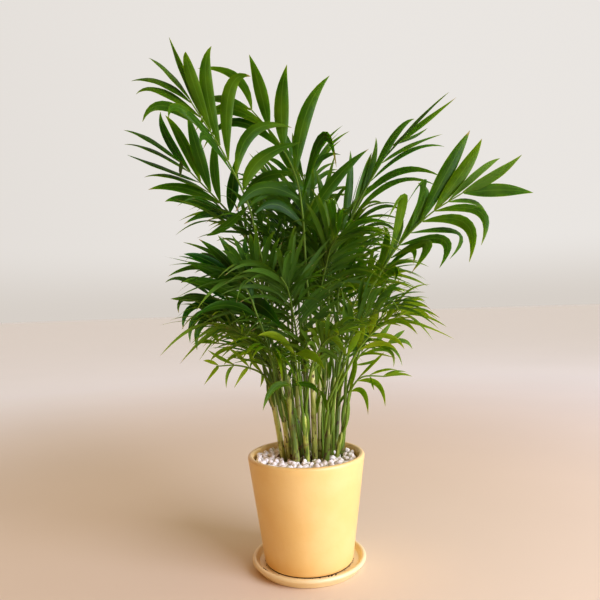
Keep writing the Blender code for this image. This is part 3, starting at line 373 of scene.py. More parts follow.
# Each frond seen in front elevation. Its route is the stalk's visible part, as (across, up, depth), and its
# second point is where the leaflets begin. Each leaflet: tip across, up and depth, middle across and up,
# width, and the angle in degrees that its face is turned away from the eye. They run from base to end, and
# None is a leaflet left out. A frond's tone is how yellow it is, from deep green at 0 to yellow-green at 1;
# it is partly the leaves' age and partly painted shade and light, deeper for fronds inside the clump and
# paler for lit ones.
traced = {
    "frond_upper_left": dict(
        cane=2, tone=0.38, route=((-36, 297, -22), (-51, 368, -35), (-75, 423, -45), (-109, 481, -52)),
        right=(
            (13, 381, -20, -18, 388, 11, 10), (6, 433, -35, -36, 418, 13, 10),
            (-4, 449, -30, -45, 446, 12, 15), (-45, 504, -55, -68, 488, 13, 10),
            (-85, 537, -60, -92, 500, 13, 5), (-112, 532, -75, -107, 506, 11, 10),
            (-129, 548, -50, -117, 513, 9, 50), (-151, 527, -40, -131, 511, 9, 62),
        ),
        left=(
            (-96, 339, -40, -76, 349, 9, 30), None, (-99, 429, -85, -92, 441, 9, 55),
            (-113, 465, -105, -102, 459, 9, 50), (-132, 462, -95, -118, 472, 9, 30),
            (-159, 460, -60, -135, 476, 10, 15), (-165, 489, -45, -140, 492, 9, 45),
            (-170, 503, -40, -140, 501, 9, 55),
        ),
    ),
    "frond_mid_left": dict(
        cane=0, tone=0.3, route=((-43, 323, 15), (-61, 349, 15), (-88, 381, 12), (-123, 419, 8)),
        right=(
            None, (-64, 417, 20, -67, 391, 13, 10), (-81, 449, 5, -86, 412, 10, 15),
            (-112, 469, 0, -103, 429, 13, 5), (-135, 466, 10, -119, 440, 11, 10),
            (-140, 470, 0, -134, 443, 10, 25), (-121, 400, -25, -120, 410, 7, 50),
        ),
        left=(
            (-119, 352, 0, -86, 363, 11, 20), (-138, 376, 5, -112, 377, 11, 20),
            (-155, 389, 10, -120, 390, 11, 20), (-159, 402, 15, -130, 402, 9, 65),
            (-176, 426, 15, -146, 414, 9, 62), (-179, 437, 10, -150, 430, 9, 65),
            (-179, 452, 5, -152, 441, 9, 58),
        ),
    ),
    "frond_top": dict(
        cane=5, tone=0.34,
        route=((5, 290, -35), (5, 347, -32), (-1, 396, -28), (-18, 434, -25), (-47, 471, -20)),
        right=(
            (75, 424, -20, 39, 393, 12, 20), (41, 406, -70, 27, 437, 11, 25), (37, 502, -30, 11, 462, 14, 5),
            (-7, 515, -30, -14, 475, 15, 5), (-46, 527, -25, -36, 491, 13, 10),
            (-100, 514, -10, -62, 505, 9, 20),
        ),
        left=(
            (-45, 360, -55, -21, 369, 11, 25), (-65, 363, -45, -37, 387, 13, 15),
            (-57, 375, -5, -37, 397, 11, 30), (-97, 429, 5, -63, 457, 10, 30),
            (-104, 449, -5, -73, 471, 11, 15), (-101, 477, 10, -78, 482, 9, 35),
        ),
    ),
    "frond_upper_right": dict(
        cane=15, tone=0.34, route=((24, 284, -5), (36, 315, 2), (53, 349, 10), (71, 383, 15), (101, 429, 20)),
        right=(
            (106, 328, 0, 79, 346, 9, 50), (112, 355, 5, 83, 363, 9, 50), (145, 383, 10, 101, 389, 10, 35),
            (149, 393, -5, 107, 400, 11, 20), (154, 424, 25, 118, 421, 9, 50),
            (152, 437, 40, 118, 426, 9, 50), (168, 475, 20, 129, 447, 10, 30),
        ),
        left=(
            (20, 404, 0, 28, 367, 13, 15), (56, 423, 15, 54, 387, 12, 15), (78, 420, 35, 70, 397, 10, 35),
            (83, 436, 50, 80, 412, 10, 25), (124, 454, 20, 103, 438, 11, 20), (161, 481, 30, 129, 453, 9, 62),
            (137, 444, 55, 120, 434, 8, 55),
        ),
    ),
    "frond_right": dict(
        cane=9, tone=0.42,
        route=((50, 245, -8), (76, 284, -15), (102, 322, -22), (136, 354, -30), (174, 377, -38)),
        right=(
            (92, 277, -35, 99, 297, 9, 20), (117, 303, -35, 114, 318, 8, 50),
            (115, 294, -45, 131, 324, 12, 20), (144, 298, -50, 149, 327, 11, 25),
            (155, 307, -20, 165, 334, 9, 62), (175, 303, -55, 173, 343, 12, 15),
            (188, 320, -50, 188, 355, 10, 25), (195, 344, -20, 186, 364, 8, 62),
            (244, 373, -45, 210, 377, 13, 5),
        ),
        left=(
            (86, 344, -40, 90, 326, 9, 30), (100, 358, -5, 104, 341, 9, 35), (92, 350, -60, 109, 370, 11, 20),
            (125, 387, -35, 130, 366, 12, 10), (110, 362, -75, 131, 386, 9, 35),
            (181, 440, -30, 158, 402, 14, 5), (193, 431, -35, 173, 399, 13, 5),
            (211, 410, -25, 188, 396, 9, 40), (234, 413, -55, 204, 392, 10, 15),
        ),
    ),
    "frond_fan_left": dict(
        cane=13, tone=0.18, route=((-32, 224, -42), (-45, 252, -50), (-55, 280, -56), (-77, 305, -62)),
        right=(
            None, (-56, 339, -70, -55, 311, 9, 30), (-84, 339, -75, -67, 313, 10, 15),
            (-104, 336, -60, -80, 316, 9, 10), (-102, 321, -45, -91, 316, 8, 40),
        ),
        left=(
            (-112, 254, -85, -79, 267, 11, 40), (-122, 292, -90, -92, 289, 11, 25),
            (-117, 313, -75, -90, 301, 10, 15), (-120, 321, -70, -95, 313, 9, 15),
            (-137, 298, -60, -109, 307, 8, 55),
        ),
    ),
    "frond_arch_left": dict(
        cane=13, tone=0.15, route=((-38, 217, -14), (-47, 245, -20), (-65, 265, -25), (-92, 275, -30)),
        right=(
            None, None, (-21, 241, -72, -44, 266, 15, 5), (-124, 291, -15, -106, 293, 9, 30),
            (-135, 275, -30, -115, 275, 8, 40),
        ),
        left=(
            (-109, 221, -30, -97, 252, 11, 35), (-116, 229, -35, -103, 258, 10, 35),
            (-123, 243, -30, -109, 267, 9, 40), (-127, 260, -30, -117, 277, 8, 40),
            (-140, 292, -30, -119, 294, 7, 55),
        ),
    ),
    "frond_low_left": dict(
        cane=3, tone=0.8, route=((-29, 176, -8), (-43, 195, -12), (-67, 204, -15), (-90, 204, -18)),
        right=(
            (-54, 225, -20, -53, 211, 6, 20), (-77, 222, -22, -67, 215, 6, 20),
            (-98, 221, -20, -86, 213, 5.5, 20), (-103, 210, -20, -96, 209, 5.5, 25),
        ),
        left=(
            (-45, 181, -30, -42, 191, 5, 30), (-72, 181, -28, -62, 196, 6, 20),
            (-80, 181, -25, -78, 196, 5.5, 30), (-103, 185, -22, -92, 199, 5.5, 20),
        ),
    ),
    "frond_low_left_back": dict(
        cane=10, tone=0.6, route=((-25, 175, 26), (-39, 207, 26), (-63, 223, 24), (-89, 228, 20)),
        right=(
            (-58, 251, 25, -50, 232, 6, 20), (-82, 254, 22, -66, 241, 6, 15),
            (-97, 247, 20, -80, 243, 5.5, 15), (-98, 240, 20, -91, 236, 5.5, 20),
        ),
        left=(
            (-55, 197, 10, -51, 208, 5.5, 30), (-82, 205, 12, -69, 215, 6, 25),
            (-96, 209, 14, -85, 219, 5.5, 20), (-113, 227, 20, -101, 230, 5.5, 20),
        ),
    ),
    "frond_bright_right": dict(
        cane=7, tone=0.85, route=((46, 194, -18), (57, 216, -24), (76, 236, -30), (104, 252, -36)),
        right=(
            (98, 213, -45, 82, 222, 8, 25), (105, 215, -38, 92, 228, 8, 20), (119, 230, -40, 103, 244, 8, 20),
            (134, 245, -42, 120, 254, 7, 25),
        ),
        left=(
            (60, 255, -35, 62, 237, 8.5, 25), (77, 265, -38, 75, 249, 8.5, 20),
            (100, 270, -40, 94, 258, 8, 20), (132, 257, -40, 116, 261, 8, 15),
        ),
    ),
    "frond_right_inner": dict(
        cane=9, tone=0.6, route=((49, 176, 14), (52, 200, 16), (67, 217, 18), (90, 222, 20)),
        right=(
            (81, 209, 25, 70, 203, 5, 45), (93, 197, 15, 88, 215, 6, 30), (102, 198, 18, 93, 216, 5.5, 40),
            (113, 215, 20, 104, 224, 6, 20),
        ),
        left=(
            (56, 247, 20, 56, 228, 7, 20), (73, 249, 22, 66, 233, 7, 20), (93, 244, 24, 84, 233, 7, 20),
            (106, 235, 20, 99, 230, 6, 20),
        ),
    ),
    "frond_low_right": dict(
        cane=12, tone=0.7, route=((40, 150, -6), (48, 175, -8), (60, 188, -12), (85, 188, -16)),
        right=(
            (65, 149, -20, 61, 172, 7.5, 10), (83, 157, -22, 76, 180, 7.5, 15),
            (72, 174, -30, 70, 182, 5, 50), (112, 187, -18, 98, 190, 5.5, 35),
        ),
        left=(
            (51, 214, -10, 53, 200, 7, 25), (84, 213, -10, 73, 203, 5.5, 45),
            (97, 194, -14, 84, 195, 5.5, 50), (106, 192, -10, 95, 193, 5.5, 50),
        ),
    ),
    "leaf_pair_front": dict(
        cane=14, tone=0.72, route=((-7, 172, -22), (-7, 195, -46), (-8, 216, -56)),
        right=((22, 197, -70, 9, 212, 13, 5),),
        left=((-46, 234, -66, -27, 233, 12, 20),),
    ),
    "leaf_pair_front_right": dict(
        cane=7, tone=0.62, route=((33, 178, -30), (42, 196, -46), (46, 213, -52)),
        right=((62, 237, -60, 54, 226, 11, 20),),
        left=((-2, 234, -62, 25, 236, 11, 20),),
    ),
    "leaf_pair_low": dict(
        cane=3, tone=0.3, route=((-9, 158, -12), (-12, 172, -28), (-14, 184, -40)),
        right=((14, 170, -50, 7, 181, 9, 20),),
        left=((-43, 157, -50, -31, 180, 12, 20),),
    ),
}

# Each frond whose leaflets follow a rule: the cane it grows from, the compass direction in degrees that it
# arches to, its reach and rise from the cane's top, its pairs of leaflets, the longest one's length, its tone
# The tones here are also partly painted shade: deep for fronds inside and behind the clump, paler for lit
# ones
ruled = {
    "frond_centre": (16, 100, 40, 196, 8, 80, 0.2), "frond_left_low_front": (0, 212, 62, 66, 8, 56, 0.5),
    "frond_left_back": (0, 156, 64, 122, 7, 60, 0.15), "frond_left_inner": (1, 190, 46, 150, 8, 74, 0.2),
    "frond_left_back_low": (1, 112, 80, 58, 7, 54, 0.5), "frond_front_left": (2, 232, 60, 96, 7, 66, 0.22),
    "frond_back": (4, 80, 92, 112, 8, 78, 0.15), "frond_back_high": (4, 120, 52, 166, 8, 78, 0.2),
    "frond_front": (14, 246, 42, 132, 8, 64, 0.25), "frond_front_right": (6, 290, 58, 114, 8, 68, 0.25),
    "frond_inner_right": (15, 50, 44, 170, 8, 76, 0.3),
    "frond_front_right_low": (7, 326, 60, 98, 7, 60, 0.35), "frond_right_back": (8, 24, 56, 100, 7, 56, 0.5),
    "frond_right_back_high": (8, 66, 84, 132, 8, 70, 0.4), "frond_right_low": (9, 345, 58, 92, 8, 54, 0.65),
    "frond_back_left_low": (10, 128, 92, 78, 7, 68, 0.25), "frond_back_low": (11, 75, 98, 54, 7, 64, 0.3),
    "frond_middle": (4, 282, 28, 190, 8, 76, 0.15), "frond_middle_right": (8, 222, 46, 156, 8, 76, 0.2),
    "frond_middle_left": (16, 218, 40, 146, 8, 70, 0.12), "frond_middle_back": (11, 262, 40, 122, 7, 70, 0.1),
    "frond_back_right": (11, 98, 72, 128, 8, 76, 0.3), "frond_low_front": (13, 262, 44, 52, 7, 50, 0.5),
    "frond_low_front_right": (14, 312, 50, 78, 7, 50, 0.6),
}

ruleKeys = ("cane", "compass", "reach", "rise", "pairs", "length", "tone")
fronds = {**traced, **{name: dict(zip(ruleKeys, row)) for name, row in ruled.items()}}


def squared(direction, run):
    # The part of a direction that is square to a run
    return (direction - run * direction.dot(run)).normalized()


def axesRound(run):
    across = squared(Vector((1, 0, 0)), run)
    return across, run.cross(across)


def spoke(axes, angle):
    return axes[0] * math.cos(angle) + axes[1] * math.sin(angle)


def runAt(path, index):
    return (path[min(index + 1, len(path) - 1)] - path[max(index - 1, 0)]).normalized()


def smoothPath(points, spacing):
    # Evenly spaced points on a centripetal Catmull-Rom curve through the given ones
    ends = [points[0] * 2 - points[1], *points, points[-1] * 2 - points[-2]]
    fine = []
    for before, a, b, after in zip(ends, ends[1:], ends[2:], ends[3:]):
        first, span, last = (math.sqrt((q - p).length) for p, q in ((before, a), (a, b), (b, after)))
        leave = (b - a) + ((a - before) / first - (b - before) / (first + span)) * span
        arrive = (b - a) + ((after - b) / last - (after - a) / (span + last)) * span
        for step in range(16):
            t = step / 16
            fine.append(a.lerp(b, t * t * (3 - 2 * t)) + leave * t * (1 - t) ** 2 - arrive * t * t * (1 - t))
    fine.append(points[-1])
    lengths = [0.0]
    for a, b in zip(fine, fine[1:]):
        lengths.append(lengths[-1] + (b - a).length)
    count = max(3, round(lengths[-1] / spacing))
    path, index = [], 0
    for step in range(count + 1):
        wanted = lengths[-1] * step / count
        while index < len(fine) - 2 and lengths[index + 1] < wanted:
            index += 1
        share = (wanted - lengths[index]) / (lengths[index + 1] - lengths[index])
        path.append(fine[index].lerp(fine[index + 1], share))
    return path


def layCane(footX, footY, topX, topY, topZ, footRadius, topRadius):
    # A cane's path: its end in the soil, the ground, the pebbles' level and then its visible part
    groundZ, endZ, levelZ = (caneSizes[key] for key in ("groundZ", "endZ", "levelZ"))
    ground, top = Vector((footX, footY, groundZ)), Vector((topX, topY, topZ))
    lean = (top - ground).normalized()
    rise = Vector((lean.x * caneSizes["footLean"], lean.y * caneSizes["footLean"], lean.z)).normalized()
    end, level = ground + rise * (endZ - groundZ), ground + rise * (levelZ - groundZ)
    middle = level.lerp(top, 0.5) + (rise - lean) * caneSizes["bow"]
    upper = smoothPath([ground, level, middle, top], caneSizes["spacing"])
    path = [end, ground, level] + [p for p in upper if p.z > levelZ + 8]
    shares = [max(0.0, (p.z - groundZ) / (path[-1].z - groundZ)) for p in path]
    radii = [footRadius + (topRadius - footRadius) * share for share in shares]
    return dict(path=path, radii=radii, top=top, footRadius=footRadius, topRadius=topRadius)


def seenAt(across, up, depth):
    # The point at a depth behind the elevation that the eye sees at (across, up) in it
    return eye + (Vector((across, 0, up)) - eye) * ((depth - eye.y) / -eye.y)


def seenRoute(frond, top):
    # The points that a stalk passes above its cane
    if "route" in frond:
        return [seenAt(*point) for point in frond["route"]]
    compass = math.radians(frond["compass"])
    out = Vector((math.cos(compass), math.sin(compass), 0))
    shares = ((0.22, 0.50), (0.40, 0.72), (0.70, 0.93), (1.0, 1.0))
    return [top + out * frond["reach"] * along + Vector((0, 0, frond["rise"] * up)) for along, up in shares]


def stalkAngles(number, top):
    # Stalks on one cane stand round its middle, each on the side that it leaves by
    headings = {}
    for name, frond in fronds.items():
        if frond["cane"] == number:
            run = seenRoute(frond, top)[0] - top
            headings[name] = math.atan2(run.y, run.x)
    choices = [
        {name: math.radians(start + 120 * place) for place, name in enumerate(order)}
        for order in itertools.permutations(headings)
        for start in range(0, 120, 5)
    ]

    def misfit(angles):
        return sum(1 - math.cos(angles[name] - headings[name]) for name in angles)

    return min(choices, key=misfit)


def planFronds():
    # The routes of all stalks, as smooth paths from the cane's top to the frond's end
    plans = {}
    for number, cane in enumerate(canes):
        top = cane["top"]
        along = (cane["path"][-1] - cane["path"][-2]).normalized()
        axes = axesRound(along)
        for name, angle in stalkAngles(number, top).items():
            seen = seenRoute(fronds[name], top)
            ring = spoke(axes, angle) * stalkSizes["ring"] * cane["topRadius"] / 2.6
            start = top + ring + along * stalkSizes["lift"]
            path = smoothPath([start, start + along * stalkSizes["root"] + ring * 0.6, *seen], pace)
            leafy, face = seen[1], None
            if name in ruled:
                leafy, run = seen[0], seen[-1] - seen[0]
                face = Vector((-run.x, -run.y, math.hypot(run.x, run.y) * 0.9)).normalized()
                roll = math.radians(random.Random(name).uniform(*leafletRules["roll"]))
                face = Matrix.Rotation(roll, 3, run) @ face
            leafyFrom = min(range(len(path)), key=lambda i: (path[i] - leafy).length)
            plan = dict(name=name, path=path, leafyFrom=leafyFrom, face=face, along=along, ring=ring)
            plans[name] = {**fronds[name], **plan, "leaflets": []}
    return [plans[name] for name in fronds]


def stalkRadius(plan, index):
    leafy, last = plan["leafyFrom"], len(plan["path"]) - 1
    foot, middle, apex = (stalkSizes[key] for key in ("radius", "leafyRadius", "apexRadius"))
    if index <= leafy:
        return foot + (middle - foot) * (index / max(1, leafy))
    return middle + (apex - middle) * ((index - leafy) / max(1, last - leafy))


def easeStalk(plan, number, samples, tree):
    # Moves one stalk away from what it would touch, and returns how much it lacked
    path, reach, worst = plan["path"], stalkSizes["easingReach"], 0.0
    push = [Vector() for _ in path]
    for index, point in enumerate(path):
        radius = stalkRadius(plan, index)
        for other, which, distance in tree.find_range(point, radius + 6):
            if samples[which][2] == number or distance < 0.001:
                continue
            lack = radius + samples[which][1] + stalkSizes["play"] + pace * 0.12 - distance
            if lack > 0 and index > 2:
                push[index] += (point - other) * (lack / distance * 0.1)
                worst = max(worst, lack)
    for index in range(3, len(path)):
        near = range(max(3, index - reach), min(len(path), index + reach + 1))
        moves = (push[i] * math.exp(-((index - i) * 2 / reach) ** 2) for i in near)
        path[index] = path[index] + sum(moves, Vector()) * min(1.0, (index - 2) / 3) * 0.8
    return worst


def partStalks(plans):
    # Stalks that would touch each other, or a cane, are eased apart, with their feet held
    fixed = []
    for cane in canes:
        for a, b, radius in zip(cane["path"], cane["path"][1:], cane["radii"]):
            steps = max(1, round((b - a).length / pace))
            fixed += [(a.lerp(b, step / steps), radius, -1) for step in range(steps)]
    for _ in range(stalkSizes["easingRounds"]):
        samples = [
            (point, stalkRadius(plan, index), number)
            for number, plan in enumerate(plans)
            for index, point in enumerate(plan["path"])
        ] + fixed
        tree = KDTree(len(samples))
        for index, sample in enumerate(samples):
            tree.insert(sample[0], index)
        tree.balance()
        lacks = [easeStalk(plan, number, samples, tree) for number, plan in enumerate(plans)]
        if max(lacks) < stalkSizes["easedEnough"]:
            break


def stationFrame(plan, index):
    path = plan["path"]
    along = runAt(path, index)
    up = squared(plan["face"] or (eye - path[index]).normalized(), along)
    return path[index], along, up, along.cross(up)


def rachisPoint(plan, place):
    # Point, run, up, right and radius at a fractional place along the stalk
    low = min(int(place), len(plan["path"]) - 2)
    mixed = [a.lerp(b, place - low) for a, b in zip(stationFrame(plan, low), stationFrame(plan, low + 1))]
    return mixed[0], *[axis.normalized() for axis in mixed[1:]], stalkRadius(plan, place)


def ruledLeaflet(plan, station, share, side, draw):
    # Tip, middle, width and face of a leaflet that follows the frond's own curve
    root, along, up, right, _ = rachisPoint(plan, station)
    rules = leafletRules
    swell = 0.70 + 0.42 * math.sin(math.pi * (0.2 + 0.62 * share))
    long = plan["length"] * swell * draw.uniform(*rules["length"])
    angle = math.radians(62 - 38 * share + draw.uniform(*rules["stray"]))
    heading = along * math.cos(angle) + right * side * math.sin(angle) + up * draw.uniform(*rules["climb"])
    heading.normalize()
    lift, droop = draw.uniform(*rules["lift"]), draw.uniform(*rules["droop"])
    middle = root + heading * long * 0.5 + up * long * lift
    tip = root + heading * long + up * long * lift * 0.6 - Vector((0, 0, long * droop))
    face = up + along * draw.uniform(*rules["lean"]) - right * side * draw.uniform(*rules["tilt"])
    width = draw.uniform(*rules["width"]) * (0.85 + 0.25 * share) * plan.get("slim", 1.0)
    return tip, middle, width, face.normalized()


def tracedLeaflet(root, up, leaflet):
    tipAcross, tipUp, depth, midAcross, midUp, width, turned = leaflet
    tip = seenAt(tipAcross, tipUp, depth)
    middle = seenAt(midAcross, midUp, root.y + (depth - root.y) * 0.45)
    run = (tip - root).normalized()
    flat = squared((eye - middle).normalized(), run)
    choices = [Matrix.Rotation(math.radians(turned * way), 3, run) @ flat for way in (1, -1)]
    return tip, middle, width, max(choices, key=lambda normal: abs(normal.dot(up)))


def ribAt(leaf, t):
    # Point and run of a leaflet's rib at a share of its length
    root, middle, tip = leaf["root"], leaf["middle"], leaf["tip"]
    point = root * (1 - t) * (1 - 2 * t) + middle * 4 * t * (1 - t) + tip * t * (2 * t - 1)
    return point, (root * (4 * t - 3) + middle * (4 - 8 * t) + tip * (4 * t - 1)).normalized()


def bladeSections(leaf, shape, extra=0):
    # Cross-sections of a leaflet: lower edge, raised rib, upper edge and underside, and its tip
    sections = []
    for t, share in shape:
        point, run = ribAt(leaf, t)
        if share == 0:
            sections.append([point + run * extra])
            continue
        normal = squared(leaf["face"], run)
        half = normal.cross(run) * leaf["side"] * (leaf["width"] * share / 2 + extra)
        sag = normal * (leaf["width"] * share * coarseBlade["fold"])
        top, bottom = (normal * (coarseBlade[key] + extra) for key in ("top", "bottom"))
        sections.append([point - half - sag, point + top, point + half - sag, point - bottom])
    return sections


# Triangles between rings of corners, each as the numbers of three corners
stalkPattern = "051 045 162 156 273 267 340 374"
pairPattern = "041 142 253 350 746 847 958 659 064 056 248 285"
bladePattern = "015 054 125 265 237 276 307 047"
tipPattern = "014 124 234 304"


def facesOf(corners, pattern):
    return [[corners[int(number)] for number in triangle] for triangle in pattern.split()]


def treeOf(faces):
    # A search tree of faces that are lists of corners
    points, polygons = [], []
    for face in faces:
        polygons.append(tuple(range(len(points), len(points) + len(face))))
        points += [tuple(corner) for corner in face]
    return BVHTree.FromPolygons(points, polygons, epsilon=0.0)


def bladeTree(*leaves):
    # Leaflets given by their sections, as one search tree
    faces = []
    for sections in leaves:
        for ring, after in zip(sections, sections[1:]):
            faces += facesOf(ring + after, tipPattern if len(after) == 1 else bladePattern)
    return treeOf(faces)


def frondTree(plan):
    return bladeTree(*[leaf["sections"] for leaf in plan["leaflets"]])


def tubeTree(path, radii, sides=6):
    # A coarse tube, to keep leaflets clear of a cane
    rings = []
    for index, point in enumerate(path):
        axes = axesRound(runAt(path, index))
        rings.append([point + spoke(axes, fullTurn * side / sides) * radii[index] for side in range(sides)])
    faces = [rings[0][::-1], rings[-1]]
    for ring, after in zip(rings, rings[1:]):
        for side in range(sides):
            faces.append([ring[side - 1], ring[side], after[side]])
            faces.append([ring[side - 1], after[side], after[side - 1]])
    return treeOf(faces)


def stalkTree(plan):
    # Rings of right, top, left and bottom, but only of top and bottom where a pair of leaflets leaves
    insert = stalkSizes["insert"]
    places = [(i, True) for i in range(0, int(plan["stations"][0] - 1.2), stalkSizes["stride"])]
    for station in plan["stations"]:
        places += [(station - insert, True), (station, False), (station + insert, True)]
    rings = []
    for place, plain in places:
        point, _, up, right, radius = rachisPoint(plan, place)
        top, bottom = point + up * radius, point - up * radius
        whole = [point + right * radius, top, point - right * radius, bottom]
        rings.append(whole if plain else [top, bottom])
    faces = []
    for before, ring, after in zip([[]] + rings, rings, rings[1:]):
        if len(ring) == 2:
            faces += facesOf(before + ring + after, pairPattern)
        elif len(after) == 4:
            faces += facesOf(ring + after, stalkPattern)
    return treeOf(faces)


def placeLeaflet(plan, station, share, side, traced, obstacles, draw):
    # Bends the leaflet clear of what is already there, or shortens it; keeps its course and its own tree
    centre, along, up, right, radius = rachisPoint(plan, station)
    root = centre + right * side * radius
    shape = coarseBlade["ruledShape"]
    if traced:
        tip, middle, width, face = tracedLeaflet(root, up, traced)
        shape = coarseBlade["longShape" if (tip - root).length > coarseBlade["longFrom"] else "shortShape"]
    else:
        tip, middle, width, face = ruledLeaflet(plan, station, share, side, draw)
    if (face.cross((middle - root).normalized()) * side).dot(along) < 0:
        face = -face
    sight = (eye - tip).normalized() if traced else face
    ring = []
    for offset, outward, upward in ((-1, side, 0), (0, 0, 1), (1, side, 0), (0, 0, -1)):
        point, _, top, out, thick = rachisPoint(plan, station + offset * stalkSizes["insert"])
        ring.append(point + (out * outward + top * upward) * thick)
    part = coarseBlade["bendShare"]
    for scale, swing, push in bends:
        newTip = root + (tip - root) * scale + sight * push + along * swing
        newMiddle = root + (middle - root) * scale + sight * push * part + along * swing * part
        newWidth = width * (0.4 + 0.6 * scale)
        leaf = dict(root=root, middle=newMiddle, tip=newTip, width=newWidth, face=face, side=side)
        tests = bladeSections(leaf, shape, coarseBlade["testExtra"])
        whole = bladeTree([ring] + tests)
        if any(whole.overlap(other) for other in obstacles):
            continue
        outer = bladeTree(tests)
        if any(outer.overlap(other) for other in plan["own"]):
            continue
        sections = [ring] + bladeSections(leaf, shape)
        plan["own"].append(bladeTree(sections))
        plan["leaflets"].append({**leaf, "sections": sections})
        return


def placeLeaflets(plan, obstacles):
    draw = random.Random(plan["name"])
    plan["own"] = [plan["stalkTree"]]
    pairs = len(plan["stations"])
    for pair in reversed(range(pairs)):
        for side, which in ((1, "right"), (-1, "left")):
            leaflet = plan[which][pair] if which in plan else ()
            if leaflet is not None:
                station, share = plan["stations"][pair], pair / max(1, pairs - 1)
                placeLeaflet(plan, station, share, side, leaflet, obstacles, draw)


def setStations(plan):
    # Where the pairs of leaflets leave the stalk, as places along its path
    pairs = plan["pairs"] if "pairs" in plan else len(plan["right"])
    last = len(plan["path"]) - 1
    first = min(plan["leafyFrom"], last - 3)
    end = last - stalkSizes["insert"] - 0.15
    gaps = max(1, pairs - 1)
    plan["stations"] = [end - (end - first) * (pairs - 1 - pair) / gaps for pair in range(pairs)]


def layOut():
    # The same order as in the solids, so that every leaflet bends the same way
    plans = planFronds()
    partStalks(plans)
    for plan in plans:
        setStations(plan)
        plan["stalkTree"] = stalkTree(plan)
    obstacles = list(caneTrees)
    for plan in plans:
        placeLeaflets(plan, obstacles + [other["stalkTree"] for other in plans if other is not plan])
        obstacles.append(frondTree(plan))
    print("fronds laid out:", sum(len(plan["leaflets"]) for plan in plans), "leaflets")
    return plans


canes = [layCane(*row) for row in caneRows]
caneTrees = [tubeTree(cane["path"], cane["radii"]) for cane in canes]

# Soil, loose pebbles and crumbs
bedLooks = dict(
    seed=41, stoneRadius=(3.2, 6.6), stoneTries=17200, stoneKinds=9, stoneCorners=26, stoneEdge=62,
    lowZ=98.6, highZ=111.4, reach=53.2, caneGap=11,
    crumbs=560, crumbRadius=(0.5, 2.0), crumbKinds=5, crumbCorners=12, crumbEdge=30,
    crumbSpread=(-38, 44, -30, 40), crumbLift=(0.2, 3.4),
    shoulderCrumbs=6, shoulderHeading=(-73, 6), shoulderCrumbRadius=(0.4, 1.2),
    saucerCrumbs=12, saucerHeading=(-143, 7), saucerRing=(48.2, 50.6), saucerCrumbRadius=(0.35, 0.95),
    # The seam crumbs and the seam ring darken the pot's foot seam: painted contact shadow
    seamShadowCrumbs=70, seamSpread=(-0.9, 1.0), seamShadowCrumbRadius=(0.2, 0.5), seamDirt=(43.9, 6.1, 0.5),
    stonePale=(0.99, 0.97, 0.82), stoneGrey=(0.92, 0.89, 0.72), stoneStain=(0.36, 0.27, 0.15),
)


def lumpCollection(name, draw, kinds, corners):
    # Stones or crumbs of unit size, each the hull of a few scattered points
    collection = bpy.data.collections.new(name)
    for kind in range(kinds):
        squash = draw.uniform(0.62, 0.9)
        shape = bmesh.new()
        for number in range(corners):
            height = 1 - 2 * (number + 0.5) / corners
            angle = number * 2.399963 + draw.uniform(-0.35, 0.35)
            ring = math.sqrt(1 - height * height)
            place = Vector((ring * math.cos(angle), ring * math.sin(angle), height * squash))
            shape.verts.new(place * draw.uniform(0.86, 1.06))
        made = bmesh.ops.convex_hull(shape, input=shape.verts)
        inner = [part for part in made["geom_interior"] if isinstance(part, bmesh.types.BMVert)]
        bmesh.ops.delete(shape, geom=inner, context="VERTS")
        bmesh.ops.recalc_face_normals(shape, faces=shape.faces)
        lump = f"{name}{kind}"
        collection.objects.link(bpy.data.objects.new(lump, meshOf(lump, shape)))
    return collection


def scatterTree(name, collection, material, angle):
    # Puts a lump of the collection on every point, at that point's size, turn and kind
    tree, inputs = newTree(name, {"Kinds": collection, "Size Factor": 1.0, "Material": material})
    sources = {"Collection": inputs["Kinds"], "Separate Children": True, "Reset Children": True}
    picked = put(tree, "GeometryNodeCollectionInfo", sources)
    scaling = {0: named(tree, "size", "FLOAT_VECTOR"), "Scale": inputs["Size Factor"]}
    grown = put(tree, "ShaderNodeVectorMath", scaling, operation="SCALE")
    placed = put(tree, "GeometryNodeInstanceOnPoints", {
        "Points": inputs["Geometry"],
        "Instance": picked,
        "Pick Instance": True,
        "Instance Index": named(tree, "kind", "INT"),
        "Rotation": put(tree, "FunctionNodeEulerToRotation", {"Euler": named(tree, "turn", "FLOAT_VECTOR")}),
        "Scale": grown,
    })
    realized = put(tree, "GeometryNodeRealizeInstances", {"Geometry": placed})
    return closeTree(tree, realized, inputs["Material"], angle)


def lumpPoint(draw, place, radius, kinds):
    size = Vector([radius * draw.uniform(0.85, 1.12) * mm for _ in range(3)])
    turned = Vector([draw.uniform(0, fullTurn) for _ in range(3)])
    return [dict(at=Vector(place), size=size, turn=turned, kind=draw.randrange(kinds), shade=draw.random())]


def canesAt(z):
    # Middle and radius of every cane at a height in the bed
    found = []
    for cane in canes:
        end, _, level = cane["path"][:3]
        found.append((end.lerp(level, (z - end.z) / (level.z - end.z)), cane["footRadius"]))
    return found


